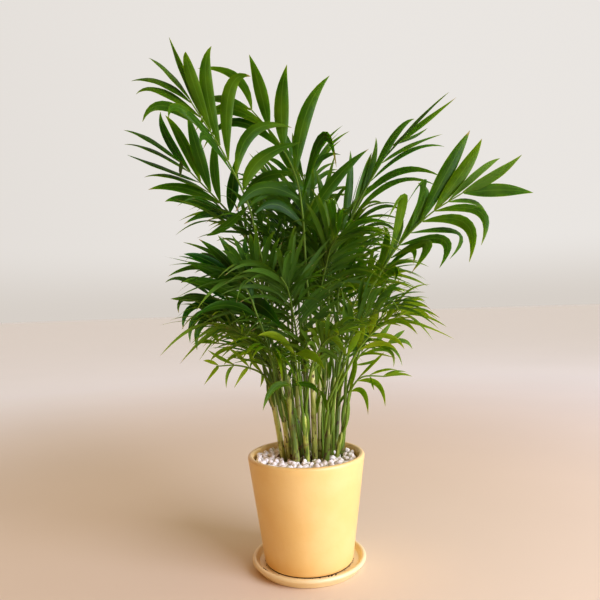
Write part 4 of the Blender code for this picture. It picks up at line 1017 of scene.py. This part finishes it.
def settleStones(draw):
    # Stones dropped one by one onto those already there, clear of the canes and the pot's wall
    settled = []
    feet = canesAt(bedLooks["lowZ"] + 0.4)
    for _ in range(bedLooks["stoneTries"]):
        radius = draw.uniform(*bedLooks["stoneRadius"]) * draw.uniform(0.85, 1.0)
        angle, share = draw.uniform(0, fullTurn), math.sqrt(draw.random())
        place = Vector((math.cos(angle), math.sin(angle))) * share * (bedLooks["reach"] - radius)
        gaps = [(foot.xy - place).length for foot, _ in feet]
        if sum(gap < bedLooks["caneGap"] for gap in gaps) > 1 and draw.random() < 0.8:
            continue
        if any(gap < caneRadius + radius * 0.85 for gap, (_, caneRadius) in zip(gaps, feet)):
            continue
        z = bedLooks["lowZ"] + radius * 0.7
        for other, otherRadius in settled:
            flat = (other.xy - place).length
            touch = (radius + otherRadius) * 0.86
            if flat < touch:
                z = max(z, other.z + math.sqrt(touch * touch - flat * flat) * 0.8)
        if z + radius * 0.8 < bedLooks["highZ"]:
            settled.append((Vector((*place, z)), radius))
    return [lumpPoint(draw, centre, radius, bedLooks["stoneKinds"]) for centre, radius in settled]


def ringCrumb(degrees, ring, ground, radius):
    angle = math.radians(degrees)
    return ring * math.cos(angle), ring * math.sin(angle), ground + radius * 0.6, radius


def scatterCrumbs(draw):
    # Soil crumbs among the canes, a few on the saucer's shoulder and floor, and more in the pot's foot seam,
    # where they darken it as painted contact shadow
    crumbs = []
    feet = canesAt(caneSizes["groundZ"] + 1)
    west, east, south, north = bedLooks["crumbSpread"]
    while len(crumbs) < bedLooks["crumbs"]:
        place = Vector((draw.uniform(west, east), draw.uniform(south, north)))
        radius = draw.uniform(*bedLooks["crumbRadius"])
        nearest = min((foot.xy - place).length - caneRadius for foot, caneRadius in feet)
        if radius < nearest < 12:
            height = caneSizes["groundZ"] + draw.uniform(*bedLooks["crumbLift"])
            crumbs.append((place.x, place.y, height, radius))
    well = potSizes["footZ"] - saucerSizes["gap"]
    lip = saucerSizes["wall"] / 2
    shoulder = saucerSizes["rimRadius"] - lip
    for _ in range(bedLooks["shoulderCrumbs"]):
        across = lip * draw.uniform(0.55, 0.95)
        lift = saucerSizes["rimZ"] - lip + math.sqrt(lip * lip - across * across)
        heading = draw.gauss(*bedLooks["shoulderHeading"])
        radius = draw.uniform(*bedLooks["shoulderCrumbRadius"])
        crumbs.append(ringCrumb(heading, shoulder - across, lift, radius))
    for _ in range(bedLooks["saucerCrumbs"]):
        heading, ring = draw.gauss(*bedLooks["saucerHeading"]), draw.uniform(*bedLooks["saucerRing"])
        crumbs.append(ringCrumb(heading, ring, well, draw.uniform(*bedLooks["saucerCrumbRadius"])))
    # Fine dark crumbs all round the pot's foot: painted contact shadow in the seam
    for _ in range(bedLooks["seamShadowCrumbs"]):
        ring = potSizes["footRadius"] + draw.uniform(*bedLooks["seamSpread"])
        heading, radius = draw.uniform(0, 360), draw.uniform(*bedLooks["seamShadowCrumbRadius"])
        crumbs.append(ringCrumb(heading, ring, well, radius))
    return [lumpPoint(draw, place, radius, bedLooks["crumbKinds"]) for *place, radius in crumbs]


def stoneFinish():
    # White marble chips: chalky faces, soft grey clouds, warm stains and dusty hollows
    material, tree, shader = newMaterial("whiteMarbleChips")
    cloud = ramp(tree, objectNoise(tree, 260, 5), (0.3, 0.0), (0.7, 1.0), smooth=True)
    body = mixColours(tree, cloud, bedLooks["stoneGrey"], bedLooks["stonePale"])
    stops = (0.0, (0.86, 0.80, 0.70)), (0.2, (0.97, 0.95, 0.92)), (1.0, (1.0, 1.0, 1.0))
    toned = mixColours(tree, 1.0, body, ramp(tree, attribute(tree, "shade"), *stops), "MULTIPLY")
    stain = ramp(tree, objectNoise(tree, 700, 3), (0.72, 0.0), (0.8, 0.4))
    fill(tree, shader, {
        "Base Color": mixColours(tree, stain, toned, bedLooks["stoneStain"]),
        "Roughness": mapRange(tree, cloud, {3: 0.62, 4: 0.48}),
        "Normal": bump(tree, objectNoise(tree, 900, 3), 0.0004, 0.3),
    })
    return material


def grainFinish(name, scale, detail, stretch, stops, roughness, relief, strength=0.7, grit=0.5):
    # A dull finish whose colour and relief come from one noise
    material, tree, shader = newMaterial(name)
    grain = objectNoise(tree, scale, detail, stretch, grit)
    fill(tree, shader, {
        "Base Color": ramp(tree, grain, *stops),
        "Roughness": roughness,
        "Normal": bump(tree, grain, relief, strength),
    })
    return material


def makeBed():
    draw = random.Random(bedLooks["seed"])
    tones = (0.3, (0.008, 0.005, 0.003)), (0.55, (0.035, 0.02, 0.01)), (0.75, (0.09, 0.055, 0.028))
    soil = grainFinish("pottingSoil", 500, 6, (1, 1, 1), tones, 0.95, 0.0012, 0.9, 0.7)
    for materialSlot in bpy.data.objects["soil"].material_slots:
        materialSlot.material = soil
    stones = lumpCollection("stone", draw, bedLooks["stoneKinds"], bedLooks["stoneCorners"])
    crumbs = lumpCollection("crumb", draw, bedLooks["crumbKinds"], bedLooks["crumbCorners"])
    stoneTree = scatterTree("stoneScatter", stones, stoneFinish(), bedLooks["stoneEdge"])
    crumbTree = scatterTree("crumbScatter", crumbs, soil, bedLooks["crumbEdge"])
    settled = settleStones(draw)
    pebbles = growPiece("whitePebbles", chainMesh("pebblePoints", settled), stoneTree)
    finishPiece(pebbles, "pebbles", "pebbles")
    finishPiece(growPiece("soilCrumbs", chainMesh("crumbPoints", scatterCrumbs(draw)), crumbTree), "soil")
    # A thin dark ring of soil under the pot's foot edge: painted contact shadow in the seam
    finishPiece(turn("seamDirt", arc(*bedLooks["seamDirt"], 0, 330, 11), True, soil), "soil")
    for collection in (stones, crumbs):
        for kind in list(collection.objects):
            bpy.data.objects.remove(kind)
        bpy.data.collections.remove(collection)
    print("bed laid:", len(settled), "stones")


# Canes: ringed green stems with papery remains of old sheaths at their feet
caneLooks = dict(
    seed=17, spacing=2.0, sides=16, edge=55, ringEvery=(24, 40), ringWidth=1.7, ringSwell=0.06,
    footSwell=0.14, sheathSwell=0.16, sheathed=(0, 2, 4, 5, 7, 9, 13, 14, 15), sheathHeight=(6, 14),
    sheathLift=(4, 8), sheathSweep=(0.8, 1.7), sheathFlare=(0.3, 1.3), sheathThickness=0.3,
    foot=(0.45, 0.46, 0.17), scar=(0.16, 0.10, 0.035), freckle=(0.07, 0.035, 0.012),
)


def roundSweep(tree, chains, sides):
    # A closed round tube along each chain, as thick as its points say
    curves = put(tree, "GeometryNodeMeshToCurve", {"Mesh": chains})
    outline = put(tree, "GeometryNodeCurvePrimitiveCircle", {"Resolution": sides, "Radius": 1.0})
    inputs = {"Curve": curves, "Profile Curve": outline, "Scale": named(tree, "halfWidth"), "Fill Caps": True}
    return put(tree, "GeometryNodeCurveToMesh", inputs)


def caneTree(material):
    tree, inputs = newTree("caneSweep", {"Sides": caneLooks["sides"], "Material": material})
    tube = roundSweep(tree, inputs["Geometry"], inputs["Sides"])
    return closeTree(tree, tube, inputs["Material"], caneLooks["edge"])


def caneChain(cane, draw):
    topZ, groundZ = cane["top"].z, caneSizes["groundZ"]
    rings, height = [], 112 + draw.uniform(0, 22)
    while height < topZ - 14:
        rings.append(height)
        height += draw.uniform(*caneLooks["ringEvery"])
    chain = []
    tone = draw.random()
    for point in smoothPath(cane["path"], caneLooks["spacing"]):
        left = topZ - point.z
        share = max(0.0, (point.z - groundZ) / (topZ - groundZ))
        nearest = min((abs(point.z - ring) for ring in rings), default=99.0)
        ring = math.exp(-((nearest / caneLooks["ringWidth"]) ** 2))
        radius = cane["footRadius"] + (cane["topRadius"] - cane["footRadius"]) * min(1.0, share)
        swell = caneLooks["footSwell"] * math.exp(-(((point.z - 98) / 9) ** 2)) if point.z > 90 else 0.0
        sheath = caneLooks["sheathSwell"] * max(0.0, 1 - left / 30)
        width = radius * (1 + caneLooks["ringSwell"] * ring + swell + sheath) * min(1.0, 0.45 + left / 9)
        chain.append(dict(at=point, halfWidth=width * mm, ring=ring, share=share, tone=tone))
    return chain


def caneFinish():
    # Yellow-green skin, deeper in streaks, pale scars at the rings, browned feet and small dark freckles
    material, tree, shader = newMaterial("greenCane")
    streaks = objectNoise(tree, 260, 4, (1, 1, 0.07), 0.6)
    depth = plus(tree, times(tree, streaks, 1.5), times(tree, attribute(tree, "tone"), 0.5))
    stops = (0.25, (0.76, 0.75, 0.30)), (0.5, (0.47, 0.53, 0.10)), (0.8, (0.11, 0.17, 0.016))
    body = ramp(tree, minus(tree, depth, 0.35), *stops)
    foot = ramp(tree, attribute(tree, "share"), (0.0, 1.0), (0.28, 0.0), smooth=True)
    body = mixColours(tree, times(tree, foot, 0.55), body, caneLooks["foot"])
    torn = ramp(tree, objectNoise(tree, 240, 3), (0.42, 0.15), (0.56, 0.85), smooth=True)
    body = mixColours(tree, times(tree, attribute(tree, "ring"), torn), body, caneLooks["scar"])
    freckles = ramp(tree, objectNoise(tree, 330, 3, (1, 1, 0.45)), (0.60, 0.0), (0.66, 0.9))
    fill(tree, shader, {
        "Base Color": mixColours(tree, freckles, body, caneLooks["freckle"]),
        "Roughness": mapRange(tree, streaks, {3: 0.34, 4: 0.52}),
        "Normal": bump(tree, objectNoise(tree, 300, 4, (1, 1, 0.06)), 0.0003, 0.5),
    })
    return material


def sheathScrap(shape, cane, draw):
    # A torn, papery half-tube that stands off the cane's foot
    _, ground, level = cane["path"][:3]
    rise = (level - ground).normalized()
    axes = axesRound(rise)
    low = ground + rise * draw.uniform(*caneLooks["sheathLift"])
    tall = draw.uniform(*caneLooks["sheathHeight"])
    start, sweep = draw.uniform(0, 6.28), draw.uniform(*caneLooks["sheathSweep"])
    columns, rows = 8, 7
    grid = []
    for row in range(rows + 1):
        up = row / rows
        grid.append([])
        for column in range(columns + 1):
            share = column / columns
            ragged = 1 - 0.45 * abs(math.sin(share * 9 + start * 5)) * (0.4 + draw.random() * 0.6)
            climb = tall * up * (ragged if row == rows else 1 - 0.1 * up)
            flare = cane["footRadius"] * 1.15 + 0.2 + up * up * draw.uniform(*caneLooks["sheathFlare"])
            place = low + rise * climb + spoke(axes, start + sweep * share) * flare
            grid[row].append(shape.verts.new(place * mm))
    for lower, upper in zip(grid, grid[1:]):
        for column in range(columns):
            shape.faces.new((lower[column], lower[column + 1], upper[column + 1], upper[column]))


def makeCanes():
    draw = random.Random(caneLooks["seed"])
    chains = [caneChain(cane, draw) for cane in canes]
    piece = growPiece("palmCanes", chainMesh("caneChains", chains), caneTree(caneFinish()))
    finishPiece(piece, "cane", *[f"cane_{number:02d}" for number in range(1, len(canes) + 1)])
    shape = bmesh.new()
    for number in caneLooks["sheathed"]:
        sheathScrap(shape, canes[number], draw)
    bmesh.ops.recalc_face_normals(shape, faces=shape.faces)
    bmesh.ops.solidify(shape, geom=shape.faces, thickness=caneLooks["sheathThickness"] * mm)
    tones = (0.3, (0.05, 0.02, 0.01)), (0.52, (0.17, 0.08, 0.03)), (0.74, (0.38, 0.24, 0.10))
    dry = grainFinish("drySheath", 420, 5, (1, 1, 0.15), tones, 0.8, 0.0004)
    finishPiece(addObject("drySheaths", meshOf("drySheaths", shape, dry, 50)), "cane")
    print("canes made")


# Fronds: each leaf stalk with its folded, veined, pointed leaflets
bladeLooks = dict(
    seed=5, stations=12, slim=0.60, youngFrom=0.42, youngSlim=0.45, pairSlim=0.64,
    wispy=dict(frond_upper_right=0.74, frond_left_inner=0.85), extraPairs=2, eveningRounds=140,
    fold=0.13, camber=0.07, thickness=0.034, ripple=0.07, profilePoints=12, stalkPoints=8, edge=48,
    twist=16.0, tipWidth=0.02, baseWidth=0.11, toneSpread=0.14,
    sheath=((24, 0.55, 0.5), (18, 0.62, 1.5), (12, 0.6, 1.85), (6, 0.4, 1.9), (2, 0.12, 1.75)),
)
leafColours = dict(
    deep=(0.007, 0.036, 0.001), middle=(0.037, 0.095, 0.002), fresh=(0.108, 0.188, 0.003),
    young=(0.25, 0.34, 0.012), rib=(0.15, 0.27, 0.03), under=(0.07, 0.14, 0.02), stalk=(0.18, 0.26, 0.04),
    browned=(0.24, 0.16, 0.05),
)


def slimDown(plan):
    # The solids' leaflets are a little wider than life, so they are drawn in, with their courses kept
    plan["slim"] = bladeLooks["slim"]
    plan["own"] = [plan["stalkTree"]]
    for leaf in plan["leaflets"]:
        leaf["width"] *= plan["slim"]
        leaf["sections"] = leaf["sections"][:1] + bladeSections(leaf, coarseBlade["ruledShape"])
        plan["own"].append(bladeTree(leaf["sections"]))


def inBox(point):
    return all(low < c * mm < high for low, c, high in zip(cadBox[0], point, cadBox[1]))


def fillIn(plan, obstacles, draw):
    # More leaflets between the solids' own ones, wherever there is room
    stations, leaflets = plan["stations"], plan["leaflets"]
    steps = bladeLooks["extraPairs"] + 1
    places = [
        (a + (b - a) * step / steps, (number + step / steps) / (len(stations) - 1))
        for number, (a, b) in enumerate(zip(stations, stations[1:]))
        for step in range(1, steps)
    ]
    for station, share in reversed(places):
        for side in (1, -1):
            before = len(leaflets)
            placeLeaflet(plan, station, share, side, (), obstacles, draw)
            if len(leaflets) > before and not inBox(leaflets[-1]["tip"]):
                leaflets.pop()
                plan["own"].pop()


def evenStalk(plan):
    # Takes the kinks out of the bare part of a stalk
    path = plan["path"]
    for _ in range(bladeLooks["eveningRounds"]):
        for index in range(3, int(plan["stations"][0]) - 1):
            path[index] = path[index].lerp((path[index - 1] + path[index + 1]) / 2, 0.5)


def leafletChain(leaf, tone, draw, narrow=1.0):
    # The rib of one leaflet: half its width, which way it faces, its tone (age, with painted shade) and
    # dryness, from root to tip
    twist = draw.uniform(-1, 1) * bladeLooks["twist"]
    phase = draw.uniform(0, 6.28)
    tint = tone + draw.uniform(-bladeLooks["toneSpread"], bladeLooks["toneSpread"])
    dry = max(0.0, draw.gauss(0.02, 0.035))
    chain = []
    for station in range(bladeLooks["stations"]):
        t = station / (bladeLooks["stations"] - 1)
        point, run = ribAt(leaf, t)
        normal = Matrix.Rotation(math.radians(twist * (t - 0.25)), 3, run) @ squared(leaf["face"], run)
        share = max(math.sin(math.pi * t ** 0.8) ** 0.95 if t < 1 else 0.0, bladeLooks["tipWidth"])
        if t < 0.3:
            share = max(share, bladeLooks["baseWidth"])
        half = leaf["width"] / 2 * share * narrow * mm
        looks = dict(along=t, tint=tint, dry=dry, phase=phase, stalk=0.0)
        chain.append(dict(at=point, facing=normal, halfWidth=half, **looks))
    return chain


def stemChain(points, tone):
    # A round stem through points with the way they face and their radius in millimetres
    chain = []
    for index, (point, facing, radius) in enumerate(points):
        looks = dict(along=index / (len(points) - 1), tint=tone, dry=0.0, phase=0.0, stalk=1.0)
        chain.append(dict(at=point, facing=facing, halfWidth=radius * mm, **looks))
    return chain


def stalkChain(plan, tone):
    # The stalk, with its foot drawn down along the cane as a sheath
    path = plan["path"]
    ups = [stationFrame(plan, index)[2] for index in range(len(path))]
    foot = [
        (path[0] - plan["along"] * down + plan["ring"] * out, ups[0], radius)
        for down, out, radius in bladeLooks["sheath"]
    ]
    return stemChain(foot + [(path[i], ups[i], stalkRadius(plan, i)) for i in range(len(path))], tone)


def store(tree, geometry, name, value):
    inputs = {"Geometry": geometry, "Name": name, "Value": value}
    return put(tree, "GeometryNodeStoreNamedAttribute", inputs, data_type="FLOAT", domain="POINT")


def bladeSweep(tree, chains, inputs):
    # A thin folded leaf section swept along each rib; the section is one unit from rib to edge
    curves = put(tree, "GeometryNodeMeshToCurve", {"Mesh": chains})
    facing = named(tree, "facing", "FLOAT_VECTOR")
    curves = put(tree, "GeometryNodeSetCurveNormal", {"Curve": curves, "Normal": facing}, mode="FREE")
    outline = {"Resolution": inputs["Section Points"], "Radius": 1.0}
    circle = put(tree, "GeometryNodeCurvePrimitiveCircle", outline)
    parted = put(tree, "ShaderNodeSeparateXYZ", {0: put(tree, "GeometryNodeInputPosition")}).node
    across, up = parted.outputs["X"], parted.outputs["Y"]
    reach = calc(tree, "ABSOLUTE", across)
    bulge = times(tree, calc(tree, "SINE", times(tree, reach, math.pi)), inputs["Camber"])
    sunk, thick = times(tree, reach, inputs["Fold"]), times(tree, up, inputs["Thickness"])
    height = plus(tree, minus(tree, bulge, sunk), thick)
    section = store(tree, circle, "across", across)
    section = store(tree, section, "underside", calc(tree, "LESS_THAN", up, -0.01))
    place = put(tree, "ShaderNodeCombineXYZ", {"X": height, "Y": times(tree, across, -1.0)})
    section = put(tree, "GeometryNodeSetPosition", {"Geometry": section, "Position": place})
    sweep = {"Curve": curves, "Profile Curve": section, "Scale": named(tree, "halfWidth"), "Fill Caps": True}
    swept = put(tree, "GeometryNodeCurveToMesh", sweep)
    wave = plus(tree, times(tree, named(tree, "along"), 15.0), named(tree, "phase"))
    wave = calc(tree, "SINE", plus(tree, wave, times(tree, named(tree, "across"), 1.4)))
    edge = calc(tree, "POWER", calc(tree, "ABSOLUTE", named(tree, "across")), 2.0)
    swing = times(tree, wave, edge, inputs["Ripple"], named(tree, "halfWidth"))
    offset = put(tree, "ShaderNodeVectorMath", {0: facing, "Scale": swing}, operation="SCALE")
    return put(tree, "GeometryNodeSetPosition", {"Geometry": swept, "Offset": offset})


def frondSweep(material):
    labels = {
        "Fold": "fold", "Camber": "camber", "Thickness": "thickness", "Ripple": "ripple",
        "Section Points": "profilePoints", "Stalk Points": "stalkPoints",
    }
    sizes = {label: bladeLooks[key] for label, key in labels.items()}
    tree, inputs = newTree("frondSweep", {**sizes, "Material": material})
    isStalk = calc(tree, "GREATER_THAN", named(tree, "stalk"), 0.5)
    parting = {"Geometry": inputs["Geometry"], "Selection": isStalk}
    stalks = put(tree, "GeometryNodeSeparateGeometry", parting)
    blades = bladeSweep(tree, stalks.node.outputs[1], inputs)
    stem = roundSweep(tree, stalks, inputs["Stalk Points"])
    joined = put(tree, "GeometryNodeJoinGeometry", {"Geometry": blades})
    tree.links.new(stem, joined.node.inputs[0])
    return closeTree(tree, joined, inputs["Material"], bladeLooks["edge"])


def leafFinish():
    # Satin leaf skin that lets light through: deep to yellow green by age and by painted shade, fine veins,
    # browned tips
    material, tree, shader = newMaterial("palmLeaf")
    clouds = objectNoise(tree, 35, 3)
    # The frond's tone, and so this green, is partly painted shade and light: deep inside the clump, paler on
    # lit fronds
    toneAgeAndShade = plus(tree, attribute(tree, "tint"), times(tree, minus(tree, clouds, 0.5), 0.6))
    greens = zip((0.0, 0.35, 0.68, 1.0), (leafColours[key] for key in ("deep", "middle", "fresh", "young")))
    body = ramp(tree, toneAgeAndShade, *greens)
    across = attribute(tree, "across")
    left = minus(tree, 1.0, attribute(tree, "along"))
    veins = calc(tree, "SINE", times(tree, across, 34.0))
    veins = times(tree, veins, calc(tree, "MULTIPLY", left, 4.0, clamp=True))
    veinShade = mapRange(tree, veins, {1: -1.0, 2: 1.0, 3: 0.84, 4: 1.10})
    body = mixColours(tree, 1.0, body, veinShade, "MULTIPLY")
    rib = ramp(tree, calc(tree, "ABSOLUTE", across), (0.02, 0.3), (0.10, 0.0), smooth=True)
    body = mixColours(tree, rib, body, leafColours["rib"])
    under = times(tree, attribute(tree, "underside"), 0.4)
    body = mixColours(tree, under, body, leafColours["under"])
    body = mixColours(tree, times(tree, attribute(tree, "stalk"), 0.5), body, leafColours["stalk"])
    dryness = minus(tree, attribute(tree, "dry"), left)
    spots = times(tree, minus(tree, objectNoise(tree, 420, 3), 0.5), 0.10)
    browned = ramp(tree, plus(tree, dryness, spots), (0.0, 0.0), (0.025, 0.85))
    body = mixColours(tree, browned, body, leafColours["browned"])
    rough = mapRange(tree, objectNoise(tree, 150, 3), {3: 0.36, 4: 0.50})
    fill(tree, shader, {
        "Base Color": body,
        "Roughness": plus(tree, rough, times(tree, under, 0.4)),
        "Normal": bump(tree, times(tree, veins, times(tree, left, left)), 0.00004, 0.4),
        "Specular IOR Level": 0.13,
        "Subsurface Weight": 0.35,
        "Subsurface Radius": (0.6, 1.0, 0.2),
        "Subsurface Scale": 0.0014,
    })
    return material


# Young shoots: thin stems among the canes, each with a narrow new leaf or two
shootLooks = dict(
    seed=23, shoots=11, tries=900, radius=1.25, footReach=(-19, 30, -14, 24), height=(70, 132), lean=(2, 15),
    bow=2.5, taper=0.55, leaves=(2, 3), leafLength=(26, 44), leafWidth=(3.2, 5.0), tone=(0.3, 0.85),
)


def shootPath(draw):
    west, east, south, north = shootLooks["footReach"]
    foot = Vector((draw.uniform(west, east), draw.uniform(south, north), bedLooks["lowZ"] - 1))
    out = Vector((foot.x - 3, foot.y - 4, 0)).normalized()
    swing = Matrix.Rotation(math.radians(draw.uniform(-50, 50)), 3, "Z") @ out
    rise = Vector((0, 0, draw.uniform(*shootLooks["height"])))
    top = foot + rise + swing * draw.uniform(*shootLooks["lean"])
    return smoothPath([foot, foot.lerp(top, 0.5) - swing * shootLooks["bow"], top], pace)


def shootLeaf(path, number, draw):
    # A new leaf, still steep and narrow, from the shoot's tip or from just under it
    run = (path[-1] - path[-3]).normalized()
    out = Matrix.Rotation(draw.uniform(0, fullTurn), 3, run) @ run.orthogonal().normalized()
    length = draw.uniform(*shootLooks["leafLength"])
    spread = 0.12 if number == 0 else draw.uniform(0.35, 0.8)
    heading = (run + out * spread).normalized()
    root = path[-1 - 4 * number]
    tip = root + heading * length + out * length * spread * 0.25 - Vector((0, 0, length * spread * 0.3))
    width = draw.uniform(*shootLooks["leafWidth"])
    face = run.cross(out).cross(heading)
    return dict(root=root, middle=root + heading * length * 0.5, tip=tip, width=width, face=face, side=1)


def makeShoots(tree, obstacles):
    draw = random.Random(shootLooks["seed"])
    chains, made, thick = [], 0, shootLooks["radius"]
    for _ in range(shootLooks["tries"]):
        if made == shootLooks["shoots"]:
            break
        path = shootPath(draw)
        leaves = [shootLeaf(path, number, draw) for number in range(draw.choice(shootLooks["leaves"]))]
        if not all(inBox(leaf["tip"]) for leaf in leaves):
            continue
        parts = [tubeTree(path, [thick + 0.5] * len(path))]
        for leaf in leaves:
            foot = [leaf["root"]] * 4
            parts.append(bladeTree([foot] + bladeSections(leaf, coarseBlade["ruledShape"], 0.4)))
        if any(part.overlap(other) for part in parts for other in obstacles):
            continue
        obstacles = obstacles + parts
        tone, last = draw.uniform(*shootLooks["tone"]), len(path) - 1
        radii = [thick * (1 - shootLooks["taper"] * index / last) for index in range(last + 1)]
        stem = [(point, Vector((0, -1, 0)), radius) for point, radius in zip(path, radii)]
        chains.append(stemChain(stem, tone))
        chains += [leafletChain(leaf, tone, draw) for leaf in leaves]
        made += 1
    finishPiece(growPiece("youngShoots", chainMesh("shootChains", chains), tree), "leaf")
    print("young shoots made:", made)


def makeFronds():
    plans = layOut()
    draw = random.Random(bladeLooks["seed"])
    for plan in plans:
        if plan["name"] in ruled:
            slimDown(plan)
        plan["whole"] = frondTree(plan)
    for plan in plans:
        if plan["name"] in ruled:
            others = [other[key] for other in plans if other is not plan for key in ("stalkTree", "whole")]
            fillIn(plan, caneTrees + others, draw)
            plan["whole"] = frondTree(plan)
        evenStalk(plan)
    print("leaflets filled in:", sum(len(plan["leaflets"]) for plan in plans))
    tree = frondSweep(leafFinish())
    faces = 0
    for plan in plans:
        node, tone = plan["name"], plan["tone"]
        first, *rest = node.split("_")
        name = first + "".join(word.capitalize() for word in rest)
        young = max(0.0, tone - bladeLooks["youngFrom"]) / (1 - bladeLooks["youngFrom"])
        narrow = bladeLooks["pairSlim"] if first == "leaf" else 1 - bladeLooks["youngSlim"] * young
        narrow *= bladeLooks["wispy"].get(node, 1.0)
        chains = [leafletChain(leaf, tone, draw, narrow) for leaf in plan["leaflets"]]
        piece = growPiece(name, chainMesh(name + "Chains", chains + [stalkChain(plan, tone)]), tree)
        finishPiece(piece, "leaf", node)
        faces += len(piece.data.polygons)
    print("fronds made:", faces, "faces")
    makeShoots(tree, caneTrees + [plan[key] for plan in plans for key in ("stalkTree", "whole")])


# Floor, light and camera
lightLooks = dict(
    horizon=(0.80, 0.745, 0.69), haze=0.12, worldStrength=0.9,
    shadySide=(0.42, 0.142, 0.01), brightSide=(0.95, 0.915, 0.88), paleWall=(0.80, 0.745, 0.69),
    brightFacing=(0.66, 0.62, 0.36), turn=(-0.7, 0.9), target=(0, 0, 0.2),
    keyPlace=(1.17, -0.93, 0.66), keySize=1.1, keyEnergy=32.0, keyColour=(0.94, 0.955, 1.38),
    fillPlace=(-1.4, -1.6, 0.9), fillSize=1.8, fillEnergy=0.5, fillColour=(1.0, 0.86, 0.70),
    floor=(0.78, 0.66, 0.45), paintedFarFloor=(0.96, 0.92, 0.87), farFrom=(0.2, 1.8), floorRadius=40.0,
    farGlow=(0.69, 0.93, 1.0), farGlowStrength=0.16,
)
viewLooks = dict(lens=32.724, sensor=36, near=0.01, tilt=0.018, turn=-0.032, exposure=-0.3)


def makeFloor():
    shape = bmesh.new()
    bmesh.ops.create_circle(shape, cap_ends=True, segments=96, radius=lightLooks["floorRadius"])
    material, tree, shader = newMaterial("palePlainFloor")
    tone = ramp(tree, objectNoise(tree, 3, 3), (0.3, 0.97), (0.7, 1.0))
    place = tree.nodes.new("ShaderNodeTexCoord").outputs["Object"]
    away = put(tree, "ShaderNodeVectorMath", {0: place}, operation="LENGTH").node.outputs["Value"]
    # Farther out the floor's colour turns paler: painted light where the key light fades
    near, far = lightLooks["farFrom"]
    paintedFarLight = mapRange(tree, away, {1: near, 2: far}, "SMOOTHSTEP")
    body = mixColours(tree, paintedFarLight, lightLooks["floor"], lightLooks["paintedFarFloor"])
    fill(tree, shader, {
        "Base Color": mixColours(tree, 1.0, body, tone, "MULTIPLY"),
        "Roughness": 0.85,
        # far off, a faint glow lifts the floor to the tone of what is behind it: painted light, like the
        # paler far colour
        "Emission Color": (*lightLooks["farGlow"], 1),
        "Emission Strength": times(tree, paintedFarLight, lightLooks["farGlowStrength"]),
    })
    addObject("paleFloor", meshOf("paleFloor", shape, material))


def makeWorld():
    # A pale room whose glow is bright on one side, and warm and dim on the other
    world = bpy.data.worlds.new("paleRoom")
    world.use_nodes = True
    tree = world.node_tree
    direction = tree.nodes.new("ShaderNodeTexCoord").outputs["Generated"]
    inputs = {0: direction, 1: Vector(lightLooks["brightFacing"]).normalized()}
    facing = put(tree, "ShaderNodeVectorMath", inputs, operation="DOT_PRODUCT").node.outputs["Value"]
    low, high = lightLooks["turn"]
    turned = mapRange(tree, facing, {1: low, 2: high}, "SMOOTHSTEP")
    glow = mixColours(tree, turned, lightLooks["shadySide"], lightLooks["brightSide"])
    wall = mixColours(tree, turned, lightLooks["paleWall"], lightLooks["brightSide"])
    tone = mixColours(tree, tree.nodes.new("ShaderNodeLightPath").outputs["Is Camera Ray"], glow, wall)
    height = put(tree, "ShaderNodeSeparateXYZ", {0: direction}).node.outputs["Z"]
    climb = mapRange(tree, height, {1: 0.0, 2: lightLooks["haze"]}, "SMOOTHSTEP")
    tone = mixColours(tree, climb, lightLooks["horizon"], tone)
    fill(tree, tree.nodes["Background"], {"Color": tone, "Strength": lightLooks["worldStrength"]})
    bpy.context.scene.world = world


def makeLights():
    for name in ("key", "fill"):
        keys = ("Place", "Size", "Energy", "Colour")
        place, size, energy, colour = (lightLooks[name + key] for key in keys)
        light = bpy.data.lights.new(name + "Light", "AREA")
        light.size, light.energy, light.color = size, energy, colour
        lamp = addObject(name + "Light", light)
        lamp.location = place
        sight = Vector(lightLooks["target"]) - lamp.location
        lamp.rotation_euler = sight.to_track_quat("-Z", "Y").to_euler()


def makeCamera():
    camera = bpy.data.cameras.new("frontView")
    camera.sensor_width = viewLooks["sensor"]
    camera.lens = viewLooks["lens"]
    camera.clip_start = viewLooks["near"]
    stand = addObject("frontView", camera)
    tilted = Matrix.Rotation(math.pi / 2 + viewLooks["tilt"], 4, "X")
    turned = Matrix.Rotation(viewLooks["turn"], 4, "Z")
    stand.matrix_world = Matrix.Translation(eye * mm) @ tilted @ turned
    bpy.context.scene.camera = stand
    view = bpy.context.scene.view_settings
    view.view_transform = "Standard"
    view.look = "Medium High Contrast"
    view.exposure = viewLooks["exposure"]


makeBed()
makeCanes()
makeFronds()
makeFloor()
makeWorld()
makeLights()
makeCamera()
print("all made")
